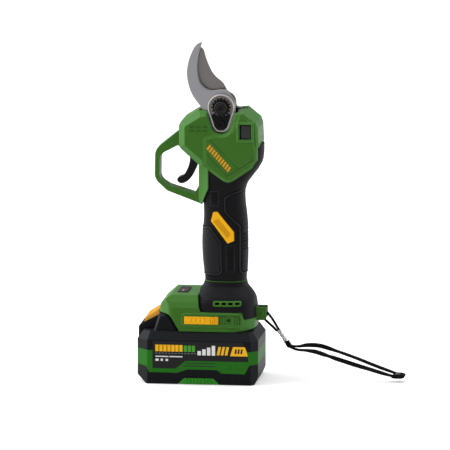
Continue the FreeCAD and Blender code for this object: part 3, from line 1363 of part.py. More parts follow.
def build_cells():
    """Cells along Y, their holders and end straps, and the pack's board."""
    radius, half_len = dim("cell_rad"), dim("cell_len") / 2
    feature("battery_cells", *[cyl_y(x, z, radius, -half_len, half_len) for x, z in CELLS])
    holders, straps = [], []
    for side in SIDES:
        holder = side_box(side, -65.6, 28.6, 22, 26, 3.2, 41.0)
        for x, z in CELLS:
            holder = holder.cut(cyl_y(x, z, radius + 0.05, -40, 40))
        holders += [s for s in holder.Solids if s.Volume > 20]
        straps += [side_box(side, x - 4, x + 4, 32.52, 32.75, 8, 36) for x in CELL_X]
    feature("cell_holders", *holders)
    feature("cell_straps", *straps)
    board = union(
        mid_box(-62.0, 25.0, 20.0, 42.0, 43.6),
        mid_box(-40, -30, 8, 43.5, 44.6),
        mid_box(-10, 0, 8, 43.5, 44.6),
    )
    feature("pack_board", board)


def build_release_latch():
    """Release button with a grooved slope and a catch, and its spring."""
    half = dim("latch_half")
    latch = prism_y(LATCH, -half, half)
    (x0, z0), (x1, z1) = LATCH[2:4]  # ends of the slope
    for k in range(7):
        x = -71.8 + 1.9 * k
        groove = turned(mid_box(-0.35, 0.35, 12.4, -0.5, 0.5), (0, 1, 0), -35)
        groove.translate(Vec(x, 0, z0 + (x - x0) * (z1 - z0) / (x1 - x0)))
        latch = latch.cut(groove)
    tongue = mid_box(-58.0, -49.0, 9.0, 59.6, 63.4)
    feature("release_latch", union(latch, tongue, mid_box(-53.4, -49.0, 9.0, 63.0, 67.2)))
    spring = helix_spring(radius=3.4, wire=0.4, height=4.5, turns=2.5,
                          base=(-65.0, 0, 47.05), axis=(0, 0, 1))
    feature("latch_spring", spring)


# ---------------------------------------------------------------- lanyard
CORD_START = [(51.12, 46.02), (48.6, 50.4), (45.4, 55.6), (41.8, 60.4)]  # x, z
CORD_END = [(35.4, 58.1), (38.6, 55.0), (43.0, 51.0), (46.6, 47.8), (49.42, 44.86)]
UPPER_STRAP = [  # x, y, z, twist in degrees
    (59.6, 3.0, 31.6, 0), (66, 4.0, 29.6, 10), (73, 5.0, 31.4, 25), (81, 5.5, 32.6, 45),
    (89, 6.0, 31.6, 30), (97, 6.0, 29.2, 10), (108, 6.5, 25.6, 5), (123, 7.0, 19.9, 5),
    (142, 6.5, 13.2, 5), (158, 5.0, 8.6, 5), (166.0, 3.0, 6.2, 0),
]
LOWER_STRAP = [
    (59.6, -3.0, 31.0, 0), (66, -3.6, 27.2, 5), (77, -4.5, 26.0, 25), (88, -5.0, 23.6, 35),
    (97, -5.5, 21.0, 15), (107, -5.5, 18.2, 35), (118, -5.5, 14.6, 30), (132, -5.5, 10.6, 15),
    (150, -4.5, 6.4, 5), (163, -3.0, 3.6, 0),
]
STRAP_END = [(161.5, 2.4), (170.0, 4.0), (170.0, 7.4), (164.0, 8.0), (161.5, 6.6)]  # x, z


def smooth(pts, steps):
    """Points on a Catmull-Rom curve through pts."""
    ends = pts[:1] + pts + pts[-1:]
    out = []
    for quad in zip(ends, ends[1:], ends[2:], ends[3:]):
        for k in range(steps):
            t = k / steps
            out.append(tuple(
                0.5 * (2 * b + (c - a) * t + (2 * a - 5 * b + 4 * c - d) * t * t
                       + (3 * b - a - 3 * c + d) * t**3)
                for a, b, c, d in zip(*quad)
            ))
    return out + pts[-1:]


def flat_cord(path, radius, sides=10):
    """Round cord along a path of (x, z) points in the mid plane."""
    rings = []
    for i, (x, z) in enumerate(path):
        (ax, az), (bx, bz) = path[max(0, i - 1)], path[min(len(path) - 1, i + 1)]
        length = math.hypot(bx - ax, bz - az)
        nx, nz = -(bz - az) / length, (bx - ax) / length
        ring = []
        for k in range(sides):
            turn = 2 * math.pi * (k + 0.5) / sides
            out = radius * math.cos(turn)
            ring.append((x + nx * out, radius * math.sin(turn), z + nz * out))
        rings.append(ring)
    return ring_solid(rings, twisted=True)


def webbing(path, width, thickness):
    """Flat strap along a path: a ruled chain of rectangles."""
    rings = []
    for i, (x, y, z, twist) in enumerate(path):
        before, after = path[max(0, i - 1)], path[min(len(path) - 1, i + 1)]
        along = (Vec(*after[:3]) - Vec(*before[:3])).normalize()
        side = Vec(0, 1, 0)
        up = along.cross(side).normalize()
        c, s = math.cos(math.radians(twist)), math.sin(math.radians(twist))
        across = (side * c + up * s) * (width / 2)
        over = (up * c - side * s) * (thickness / 2)
        centre = Vec(x, y, z)
        ring = [centre + across * p + over * q for p, q in ((-1, -1), (1, -1), (1, 1), (-1, 1))]
        rings.append(Part.makePolygon(ring + [ring[0]]))
    return Part.makeLoft(rings, True, True)


def build_lanyard():
    pin = tube_y("lanyard_pin_rod", "Dims.lug_pin", "-7.2", "7.2", "Dims.lug_x", "Dims.lug_z")
    keep("lanyard_pin", pin)
    radius = dim("cord_rad")
    loop_rad = dim("lug_pin") + 0.06 + radius
    loop = []  # round the pin
    for degrees in range(48, 229, 36):
        turn = math.radians(degrees)
        x = dim("lug_x") + loop_rad * math.cos(turn)
        loop.append((x, dim("lug_z") + loop_rad * math.sin(turn)))
    feature("lanyard_cord", flat_cord(smooth(CORD_START + loop + CORD_END, 4), radius))
    feature("lanyard_crimp", rod(*CRIMP, 2.2))
    knot = union(rod((56.6, 0, 36.2), (61.0, 0, 30.4), 2.6), mid_box(58.2, 62.2, 5.6, 29.6, 33.0))
    end = prism_y(rounded(STRAP_END, 1.0, 3), -6.0, 6.0)
    strap = joined(webbing(UPPER_STRAP, 5.0, 1.4), webbing(LOWER_STRAP, 5.0, 1.4), end, knot)
    feature("lanyard_strap", strap.cut(rod(*CRIMP, 2.22)))


# ---------------------------------------------------------------- build, check and export
for build in (
    build_housing,
    build_fixed_blade, build_moving_blade, build_pivot_plate, build_adjusting_nut,
    build_nut_lock, build_pivot_bolt, build_gear_head, build_sector_gear,
    build_planetary, build_bevel_pinion,
    build_motor_case, build_stator, build_bearings, build_rotor,
    build_trigger, build_display, build_power_button, build_control_board,
    build_terminals, build_motor_leads, build_foot_badges, build_housing_screws,
    build_pack_shell, build_pack_sides, build_cells, build_release_latch, build_lanyard,
):
    build()
doc.recompute()

bad = []
for obj in doc.Objects:
    if "Invalid" in obj.State or "Error" in obj.State:
        bad.append((obj.Label, obj.State))
for label, obj in PARTS:
    if obj.Shape.isNull() or not obj.Shape.isValid() or not obj.Shape.Solids:
        bad.append((label, "null, open or not valid"))
    if obj.Label != label:
        bad.append((label, "label became " + obj.Label))
if bad:
    raise SystemExit("not written: %s" % bad)
os.makedirs("parts", exist_ok=True)
for old in os.listdir("parts"):
    if old.endswith(".step"):
        os.remove(os.path.join("parts", old))
for label, obj in PARTS:
    obj.Shape.exportStep(f"parts/{label}.step")
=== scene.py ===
"""Looks of a battery electric pruner.

The tool stands upright along Z: the battery pack below, the grip above it and the blades on top.
The hooked blades and the trigger lie towards -X, the lanyard trails off towards +X. The flat
sides face -Y (tagged "left") and +Y (tagged "right"); the camera looks at the -Y side.
Mesh helpers work in millimetres, the scene in metres.
"""

import math
import random
from collections import namedtuple

import bpy
import numpy as np
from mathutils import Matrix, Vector


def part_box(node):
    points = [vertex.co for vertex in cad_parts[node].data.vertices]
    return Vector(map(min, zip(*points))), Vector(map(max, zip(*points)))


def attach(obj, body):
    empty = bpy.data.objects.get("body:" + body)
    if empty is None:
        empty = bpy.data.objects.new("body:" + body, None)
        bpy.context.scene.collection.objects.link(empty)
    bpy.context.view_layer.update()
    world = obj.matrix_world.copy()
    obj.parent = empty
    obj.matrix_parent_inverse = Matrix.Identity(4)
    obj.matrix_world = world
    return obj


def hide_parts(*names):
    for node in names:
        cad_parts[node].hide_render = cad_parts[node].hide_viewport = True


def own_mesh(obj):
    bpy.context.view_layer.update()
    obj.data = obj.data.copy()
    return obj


random.seed(7)
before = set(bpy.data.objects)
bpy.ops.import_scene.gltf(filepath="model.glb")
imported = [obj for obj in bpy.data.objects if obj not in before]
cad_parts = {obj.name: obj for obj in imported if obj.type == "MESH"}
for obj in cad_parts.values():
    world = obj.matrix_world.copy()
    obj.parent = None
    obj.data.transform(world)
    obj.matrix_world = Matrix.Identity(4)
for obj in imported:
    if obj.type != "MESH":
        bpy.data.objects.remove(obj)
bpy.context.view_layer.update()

MM = 0.001
SIDES = ((-1, "left"), (1, "right"))
Y_AXIS = Vector((0, 1, 0))
Point = namedtuple("Point", "x y z")


def box_mm(name):
    """Low and high corner of a CAD piece."""
    return [Point(c.x / MM, c.y / MM, c.z / MM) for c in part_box(name)]


nut_low, nut_high = box_mm("adjusting_nut")
PIVOT_Z = (nut_low.z + nut_high.z) / 2  # height of the blade pivot
PIN_X, PIN_Z = 36.0, 62.5  # axis of the lanyard pin


# ------------------------------------------------------------------ shader helpers
def srgb(*channels):
    """Linear colour from 0-255 channels."""
    parts = [c / 255 for c in channels]
    linear = [c / 12.92 if c <= 0.04045 else ((c + 0.055) / 1.055) ** 2.4 for c in parts]
    return (*linear, 1.0)


def wire(tree, node, inputs):
    """Link inputs that are given as sockets, and set the others as values."""
    for socket, value in inputs.items():
        if isinstance(value, bpy.types.NodeSocket):
            tree.links.new(value, node.inputs[socket])
        else:
            node.inputs[socket].default_value = value


def new_node(tree, kind, inputs=None, **settings):
    node = tree.nodes.new("ShaderNode" + kind)
    for key, value in settings.items():
        setattr(node, key, value)
    wire(tree, node, inputs or {})
    return node


def material(name, color, rough=0.5, metal=0.0, spec=0.5, coat=0.0, bevel=0.0, mottle=0.0,
             grain=0.0, grain_scale=900.0, streak=None, edge=None, painted_shading_range=(0.985, 0.8)):
    """Principled material.

    bevel: shaded edge radius in mm. mottle: swing of the roughness. grain: strength of a fine
    bump, stretched by streak. edge: painted light, a colour given where the surface turns away
    from the flat sides and blended over the span of |normal Y| given after it; lighter than the
    base colour it is a painted highlight on bevels, darker it is painted shade.
    """
    made = bpy.data.materials.new(name)
    made.use_nodes = True
    tree = made.node_tree
    shader = tree.nodes["Principled BSDF"]
    wire(tree, shader, {
        "Base Color": srgb(*color),
        "Roughness": rough,
        "Metallic": metal,
        "Coat Weight": coat,
        "Specular IOR Level": spec,
    })
    if mottle or grain:
        position = new_node(tree, "TexCoord").outputs["Object"]
    if mottle:
        noise = new_node(tree, "TexNoise", {"Scale": 60, "Detail": 5, "Vector": position})
        span = {"To Min": rough - mottle, "To Max": rough + mottle, "Value": noise.outputs["Fac"]}
        wire(tree, shader, {"Roughness": new_node(tree, "MapRange", span).outputs["Result"]})
    normal = None
    if bevel:
        rounded = new_node(tree, "Bevel", {"Radius": bevel * MM}, samples=6)
        normal = rounded.outputs["Normal"]
    # painted light: surfaces turned from the flat sides take the edge colour, painted highlight
    # where it is lighter than the base and painted shade where it is darker
    if edge:
        if normal is None:
            normal = new_node(tree, "NewGeometry").outputs["Normal"]
        split = new_node(tree, "SeparateXYZ", {0: normal})
        facing = new_node(tree, "Math", {0: split.outputs["Y"]}, operation="ABSOLUTE")
        painted_shading_weight = new_node(tree, "MapRange", {
            "From Min": painted_shading_range[0],
            "From Max": painted_shading_range[1],
            "To Min": 0.0,
            "To Max": 1.0,
            "Value": facing.outputs[0],
        })
        # sockets of a colour mix: 0 factor, 6 and 7 the two colours, output 2 the blend
        colors = {6: srgb(*color), 7: srgb(*edge), 0: painted_shading_weight.outputs["Result"]}
        blend = new_node(tree, "Mix", colors, data_type="RGBA")
        wire(tree, shader, {"Base Color": blend.outputs[2]})
    if grain:
        noise = new_node(tree, "TexNoise", {"Scale": grain_scale, "Detail": 3})
        if streak:
            stretched = new_node(tree, "Mapping", {"Scale": streak, "Vector": position})
            position = stretched.outputs["Vector"]
        wire(tree, noise, {"Vector": position})
        bump = {"Strength": grain, "Distance": 0.0002, "Height": noise.outputs["Fac"]}
        if normal is not None:
            bump["Normal"] = normal
        normal = new_node(tree, "Bump", bump).outputs["Normal"]
    if normal is not None:
        wire(tree, shader, {"Normal": normal})
    return made


# ------------------------------------------------------------------ materials
# Edge colours below are painted light on bevels and turned faces: painted highlight where lighter
# than the base colour, painted shade on the yellow, whose edge colour is darker
GREEN = material("green", (54, 101, 26), rough=0.42, grain=0.12, bevel=0.9, mottle=0.05,
                 spec=0.16, edge=(72, 124, 54))
PACKGREEN = material("pack_green", (34, 104, 22), rough=0.42, grain=0.10, bevel=0.6,
                     mottle=0.05, spec=0.1)
# pack green lightened as painted light, for the pads low on the pack
LIT_PAD_GREEN = material("pad_green_painted_light", (44, 136, 32), rough=0.42, grain=0.10, bevel=0.4, mottle=0.05,
                    spec=0.16)
BLACK = material("overmould", (17, 17, 19), rough=0.55, grain=0.2, grain_scale=1400, bevel=0.5,
                 mottle=0.05, spec=0.1, edge=(30, 30, 34), painted_shading_range=(0.9, 0.45))
# painted highlight for the lips, frames and ridges of the grip
RIDGE_HIGHLIGHT = material("overmould_ridge_highlight", (26, 26, 29), rough=0.5, grain=0.15, grain_scale=1400,
                 spec=0.2, edge=(46, 46, 51), painted_shading_range=(0.97, 0.55))
HARDBLACK = material("pack_black", (14, 15, 18), rough=0.42, grain=0.18, grain_scale=1100,
                     bevel=0.9, mottle=0.06, spec=0.1, edge=(30, 32, 37), painted_shading_range=(0.96, 0.5))
GLOSSBLACK = material("glossy_black", (12, 12, 13), rough=0.3, bevel=0.5, spec=0.12,
                      edge=(34, 34, 37))
YELLOW = material("yellow", (240, 177, 18), rough=0.45, bevel=0.3, grain=0.05, spec=0.15,
                  edge=(205, 146, 16), painted_shading_range=(0.98, 0.5))
DEEPYELLOW = material("yellow_rib", (198, 138, 10), rough=0.5, bevel=0.1, spec=0.1)
ORANGE = material("orange", (246, 176, 56), rough=0.45, bevel=0.25, spec=0.3)
BLADE = material("blade_steel", (154, 154, 158), rough=0.38, metal=0.85, grain=0.25,
                 grain_scale=300, streak=(0.6, 1, 9), bevel=0.25)
CUTTER = material("cutter_steel", (122, 118, 117), rough=0.34, metal=0.9, grain=0.3,
                  grain_scale=300, streak=(9, 1, 0.6), bevel=0.2)
GROUND = material("ground_edge", (205, 208, 214), rough=0.22, metal=1.0, grain=0.2,
                  grain_scale=500, streak=(1, 1, 8))
BRIGHT = material("bright_steel", (205, 203, 202), rough=0.25, metal=1.0, bevel=0.35, mottle=0.05)
# steel of the pivot plate, darkened as painted shade on its face, with its edges lit as painted
# highlight
SHADED_PLATE_STEEL = material("plate_steel_painted_shade", (118, 112, 110), rough=0.34, metal=0.7, bevel=0.35, mottle=0.06,
               edge=(225, 222, 220), painted_shading_range=(0.97, 0.6))
SATIN = material("satin_steel", (150, 146, 145), rough=0.42, metal=0.9, bevel=0.2, mottle=0.08)
HUB = material("bolt_head", (10, 10, 11), rough=0.4, bevel=0.2, spec=0.15, edge=(84, 82, 80),
               painted_shading_range=(0.92, 0.6))
DARKGEAR = material("sector_steel", (58, 58, 62), rough=0.4, metal=0.6, bevel=0.1, spec=0.2)
DARKSTEEL = material("blackened", (11, 11, 12), rough=0.38, bevel=0.35, mottle=0.08, spec=0.1,
                     edge=(36, 35, 35), painted_shading_range=(0.9, 0.5))
STEEL = material("gear_steel", (160, 160, 164), rough=0.35, metal=1.0, bevel=0.1)
# cast alloy of the gear head, darkened as painted shade
SHADED_ALLOY = material("alloy_painted_shade", (46, 46, 48), rough=0.55, metal=0.3, grain=0.3,
                     grain_scale=700, bevel=0.4, spec=0.2)
# the plate's own steel lit up as painted highlight, for its rim
RIM_HIGHLIGHT = material("rim_painted_highlight", (206, 203, 202), rough=0.28, metal=0.6, spec=0.4)
ALLOY = material("cast_alloy", (150, 152, 156), rough=0.55, metal=0.8, grain=0.3,
                 grain_scale=700, bevel=0.4)
LAMINATION = material("lamination", (90, 90, 95), rough=0.45, metal=0.8, grain=0.6,
                      grain_scale=500, streak=(0.1, 0.1, 12))
COPPER = material("copper", (190, 105, 55), rough=0.35, metal=0.9, grain=0.4, grain_scale=600)
BRONZE = material("bronze", (165, 125, 70), rough=0.4, metal=0.9, bevel=0.2)
BOARD = material("board", (24, 78, 40), rough=0.4, bevel=0.1)
CELL = material("cell", (70, 110, 170), rough=0.35, coat=0.3)
FRAMEGREY = material("cell_frame", (60, 60, 64), rough=0.6, bevel=0.3)
STRIP = material("nickel", (200, 196, 186), rough=0.3, metal=1.0)
MAGNET = material("magnet", (120, 120, 126), rough=0.3, metal=0.9)
LABEL = material("label_film", (29, 28, 29), rough=0.4, grain=0.05, spec=0.15)
WHITE = material("print_white", (222, 222, 222), rough=0.45, spec=0.2)
PRINTYELLOW = material("print_yellow", (238, 178, 30), rough=0.45, spec=0.15)
PRINTAMBER = material("print_amber", (208, 146, 38), rough=0.45, spec=0.15)
PRINTGREEN = material("print_green", (70, 150, 44), rough=0.45, spec=0.15)
PRINTGREY = material("print_grey", (120, 120, 122), rough=0.5, spec=0.2)
RED = material("print_red", (170, 40, 36), rough=0.45)
BUTTON = material("button", (48, 50, 54), rough=0.5, grain=0.1, bevel=0.4, spec=0.2)
GLASS = material("display_glass", (22, 22, 20), rough=0.16, coat=0.3, bevel=0.1, spec=0.2)
MARK = material("relief_green", (44, 84, 20), rough=0.5, bevel=0.2, spec=0.1)
# painted sheen: the inside of panel A paler, as the overmould lit from the side
PANEL_SHEEN = material("overmould_panel_sheen", (27, 27, 31), rough=0.55, grain=0.2, grain_scale=1400,
                      bevel=0.5, mottle=0.05, spec=0.13, edge=(40, 40, 45),
                      painted_shading_range=(0.9, 0.45))
# painted shade for the grooves and gaps of the grip
GROOVE_SHADE = material("overmould_groove_shade", (12, 12, 13), rough=0.8, spec=0.05)
# black for the display's printed mask, and painted shade as dark sheets in the vent slots and the
# lug slot
SHADE_AND_MASK_BLACK = material("shade_and_mask_black", (6, 6, 7), rough=0.9, spec=0.0)
WEB = material("webbing", (11, 11, 12), rough=0.85, grain=0.9, grain_scale=1500, spec=0.1)
# painted shade in the grooves of the pack band
BAND_GROOVE_SHADE = material("band_groove_shade", (14, 34, 8), rough=0.7)

# finish of each CAD piece; any other piece is STEEL
CAD_FINISHES = [
    (GREEN, "shell_left shell_right vent_grilles"),
    (BLACK, "overmould_left overmould_right"),
    (YELLOW, "accent_plates foot_badges"),
    (BLADE, "fixed_blade"),
    (CUTTER, "moving_blade"),
    (SHADED_PLATE_STEEL, "pivot_plate"),
    (DARKSTEEL, "adjusting_nut nut_lock lock_screw pivot_bolt motor_can housing_screws"),
    (BRONZE, "pivot_bush"),
    (SHADED_ALLOY, "gear_head"),
    (DARKGEAR, "sector_gear"),
    (SATIN, "blade_screws bearings trigger_pin trigger_spring latch_spring lanyard_pin"),
    (ALLOY, "motor_plate"),
    (LAMINATION, "stator"),
    (COPPER, "windings motor_leads"),
    (MAGNET, "rotor_magnets trigger_magnet"),
    (HARDBLACK, "cooling_fan terminal_block pack_base pack_top_shell"),
    (GLOSSBLACK, "trigger"),
    (BOARD, "hall_board display_board control_board pack_board"),
    (GLASS, "display_lens"),
    (BUTTON, "power_button"),
    (STRIP, "terminal_blades cell_straps"),
    (PACKGREEN, "pack_band"),
    (LABEL, "pack_labels"),
    (LIT_PAD_GREEN, "pack_side_pads"),
    (CELL, "battery_cells"),
    (FRAMEGREY, "cell_holders"),
    (ORANGE, "release_latch"),
    (BRIGHT, "lanyard_crimp"),
    (WEB, "lanyard_cord lanyard_strap"),
]


def finish_cad_pieces():
    finish = {name: mat for mat, names in CAD_FINISHES for name in names.split()}
    for name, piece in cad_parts.items():
        piece.data.materials.clear()
        piece.data.materials.append(finish.get(name, STEEL))
        for poly in piece.data.polygons:
            poly.material_index = 0


# ------------------------------------------------------------------ mesh helpers
# A mesh is a pair (vertices, faces); an outline is a list of (x, z) points.
def part(name, mesh, mats, body, smooth=None, bevel=None, face_mats=None):
    """Object from a mesh, riding on a body. smooth: angle above which edges stay sharp."""
    verts, faces = mesh
    data = bpy.data.meshes.new(name)
    data.from_pydata([tuple(c * MM for c in v) for v in verts], [], faces)
    for mat in mats if isinstance(mats, list) else [mats]:
        data.materials.append(mat)
    if face_mats is not None:
        data.polygons.foreach_set("material_index", face_mats)
    data.update()
    made = bpy.data.objects.new(name, data)
    bpy.context.scene.collection.objects.link(made)
    if smooth is not None:
        data.shade_smooth()
        if smooth < 180:
            data.set_sharp_from_angle(angle=math.radians(smooth))
    if bevel:
        edges = made.modifiers.new("edges", "BEVEL")
        edges.width = bevel * MM
        edges.segments = 3
        edges.limit_method = "ANGLE"
        edges.angle_limit = math.radians(28)
        edges.harden_normals = False
    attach(made, body)
    return made


def loft(rings, closed_ends=True):
    """Skin through rings of equal point count."""
    n = len(rings[0])
    faces = []
    for k in range(len(rings) - 1):
        for i in range(n):
            j = (i + 1) % n
            faces.append((k * n + i, k * n + j, (k + 1) * n + j, (k + 1) * n + i))
    if closed_ends:
        faces.append(tuple(reversed(range(n))))
        faces.append(tuple(range((len(rings) - 1) * n, len(rings) * n)))
    return [p for ring in rings for p in ring], faces


def merge(meshes):
    verts, faces = [], []
    for more_verts, more_faces in meshes:
        first = len(verts)
        verts += list(more_verts)
        faces += [tuple(i + first for i in face) for face in more_faces]
    return verts, faces


def at_depth(outline, y):
    return [(x, y, z) for x, z in outline]


def prism(outline, y0, y1):
    """Outline between two depths, wound so that its faces look outward."""
    following = outline[1:] + outline[:1]
    area = sum(a[0] * b[1] - b[0] * a[1] for a, b in zip(outline, following))
    if (area > 0) == (y1 > y0):
        outline = outline[::-1]
    return loft([at_depth(outline, y0), at_depth(outline, y1)])


def leaning(x0, x1, z0, z1, lean=0.0):
    """Outline of a bar whose top is shifted by lean."""
    return [(x0, z0), (x1, z0), (x1 + lean, z1), (x0 + lean, z1)]


def box(x0, x1, y0, y1, z0, z1):
    return prism(leaning(x0, x1, z0, z1), y0, y1)


def slab(x0, x1, y0, y1, z0, z1):
    """Box built up along Z."""
    return loft([[(x0, y0, z), (x1, y0, z), (x1, y1, z), (x0, y1, z)] for z in (z0, z1)])


def angles(count):
    return [2 * math.pi * k / count for k in range(count)]


def turned(profile, x, z, count, closed_ends=True):
    """Turned piece about a Y axis through x, z. profile: (radius, y)."""
    return loft(
        [[(x + r * math.cos(g), y, z + r * math.sin(g)) for g in angles(count)] for r, y in profile],
        closed_ends,
    )


def catmull(points, steps, closed=False):
    """Catmull-Rom curve through points of any dimension."""
    out = []
    n = len(points)
    for i in range(n if closed else n - 1):
        if closed:
            near = [points[(i + k) % n] for k in (-1, 0, 1, 2)]
        else:
            near = [points[max(0, i - 1)], points[i], points[i + 1], points[min(n - 1, i + 2)]]
        for k in range(steps):
            t = k / steps
            out.append(tuple(
                0.5 * (2 * b + (c - a) * t + (2 * a - 5 * b + 4 * c - d) * t * t
                       + (3 * b - a - 3 * c + d) * t**3)
                for a, b, c, d in zip(*near)
            ))
    if not closed:
        out.append(tuple(points[-1]))
    return out


def carried_frames(path):
    """Point, up and side along a 3D path, the up vector carried from point to point."""
    points = [Vector(p) for p in path]
    up = Y_AXIS
    frames = []
    for i, point in enumerate(points):
        ahead = (points[min(len(points) - 1, i + 1)] - points[max(0, i - 1)]).normalized()
        up = (up - ahead * up.dot(ahead)).normalized()
        frames.append((point, up, ahead.cross(up)))
    return frames


def tube(path, radius, sides):
    return loft([
        [tuple(p + (up * math.cos(g) + side * math.sin(g)) * radius) for g in angles(sides)]
        for p, up, side in carried_frames(path)
    ])


def signed_depth(outline, x, z):
    """Distance of points to an outline, positive inside. x and z are arrays."""
    x, z = np.asarray(x, float), np.asarray(z, float)
    best = np.full(x.shape, 1e9)
    odd = np.zeros(x.shape, bool)
    for (ax, az), (bx, bz) in zip(outline, outline[1:] + outline[:1]):
        ex, ez = bx - ax, bz - az
        t = np.clip(((x - ax) * ex + (z - az) * ez) / (ex * ex + ez * ez), 0, 1)
        best = np.minimum(best, np.hypot(x - ax - t * ex, z - az - t * ez))
        crossing = ax + (z - az) * ex / (ez if ez else 1e-12)
        odd ^= ((az > z) != (bz > z)) & (x < crossing)
    return np.where(odd, best, -best)


def smoothstep(t):
    t = np.clip(t, 0, 1)
    return t * t * (3 - 2 * t)


def bell(value, centre, width):
    return np.exp(-(((value - centre) / width) ** 2))


def across(direction):
    """A 2D direction turned by a quarter."""
    return Vector((-direction.y, direction.x))


# ------------------------------------------------------------------ grip surface
# measured sections: z, x of the -X edge, x of the +X edge, half thickness in Y
GRIP = [
    (84.0, -17.2, 21.4, 18.4), (92.0, -17.1, 21.5, 18.4), (101.0, -17.5, 21.9, 18.8),
    (114.0, -18.8, 22.4, 19.4), (128.0, -19.3, 22.5, 19.7), (141.0, -18.9, 22.3, 19.5),
    (154.0, -18.2, 21.3, 19.0), (165.0, -18.6, 20.0, 18.8), (173.0, -19.6, 19.7, 19.0),
    (181.0, -20.8, 21.4, 19.8), (189.0, -21.4, 26.6, 21.0), (197.0, -21.6, 32.6, 22.2),
    (205.0, -21.6, 36.4, 22.9), (214.0, -21.6, 37.2, 23.1), (226.0, -21.6, 37.2, 23.1),
]
SQUARENESS = 2.8  # exponent of the rounded-box section
GRIP_Z0, GRIP_Z1 = 92.95, 224.0
GRIP_ROWS = 380
GRIP_COLS = 180  # per side

# outlines in (x, z); points at +-60 lie beyond the grip
PANEL_A = [(-60, 143.0), (-9.4, 143.5), (0.4, 129.6), (1.1, 102.0), (-1.9, 98.1), (-60, 98.8)]
PANEL_B = [
    (60, 180.0), (20.6, 178.8), (11.4, 176.2), (2.7, 171.2), (2.7, 158.0), (16.0, 144.0),
    (16.0, 102.4), (18.7, 99.4), (60, 99.2),
]
LADDERS = [  # x0, x1, z0, z1, rungs
    (5.0, 12.0, 102.2, 126.6, 9),
    (-10.2, -2.4, 163.2, 176.8, 6),
]
ACCENT = [  # the yellow plate
    (-7.3, 157.7), (-3.4, 158.2), (11.9, 139.6), (12.1, 131.4), (6.1, 128.7), (-9.4, 149.5),
]
EDGE_RIBS = leaning(18.2, 60, 121.0, 139.4)
EDGE_RIB_PITCH = 2.3
GREEN_AREA = [  # where the green shell stays uncovered
    (-60, 300), (-60, 160), (-26.6, 160), (-19.2, 163.4), (-11.7, 180.0), (-11.7, 199.8),
    (3.0, 187.3), (7.0, 185.9), (11.2, 187.5), (28.5, 199.1), (33.3, 206.6), (33.4, 218.8),
    (60, 219.4), (60, 300),
]


def monotone(zs, values, z):
    """Cubic through measured values that doesn't overshoot them."""
    n = len(zs)
    slope = [(values[i + 1] - values[i]) / (zs[i + 1] - zs[i]) for i in range(n - 1)]
    inner = [0.0 if a * b <= 0 else 2 * a * b / (a + b) for a, b in zip(slope, slope[1:])]
    tangent = [slope[0]] + inner + [slope[-1]]
    i = max(0, min(n - 2, sum(1 for q in zs if q <= z) - 1))
    w = zs[i + 1] - zs[i]
    t = (z - zs[i]) / w
    return (
        (2 * t**3 - 3 * t**2 + 1) * values[i]
        + (t**3 - 2 * t**2 + t) * w * tangent[i]
        + (-2 * t**3 + 3 * t**2) * values[i + 1]
        + (t**3 - t**2) * w * tangent[i + 1]
    )


def grip_section(z):
    """Middle x, half width in X and half thickness in Y of the grip at a height."""
    zs, *columns = zip(*GRIP)
    x0, x1, half_y = [monotone(zs, column, z) for column in columns]
    return (x0 + x1) / 2, (x1 - x0) / 2, half_y


def rounded_box(angle):
    """Points of the unit section at an array of angles."""
    cos, sin = np.cos(angle), np.sin(angle)
    power = 2 / SQUARENESS
    return np.sign(cos) * np.abs(cos) ** power, np.sign(sin) * np.abs(sin) ** power


def even_half_section():
    """Half of the unit section, its points evenly spaced along the curve."""
    fine = np.linspace(0, math.pi, 4000)
    fine_x, fine_y = rounded_box(fine)
    travel = np.concatenate([[0], np.cumsum(np.hypot(np.diff(fine_x), np.diff(fine_y)))])
    return rounded_box(np.interp(np.linspace(0, travel[-1], GRIP_COLS + 1), travel, fine))


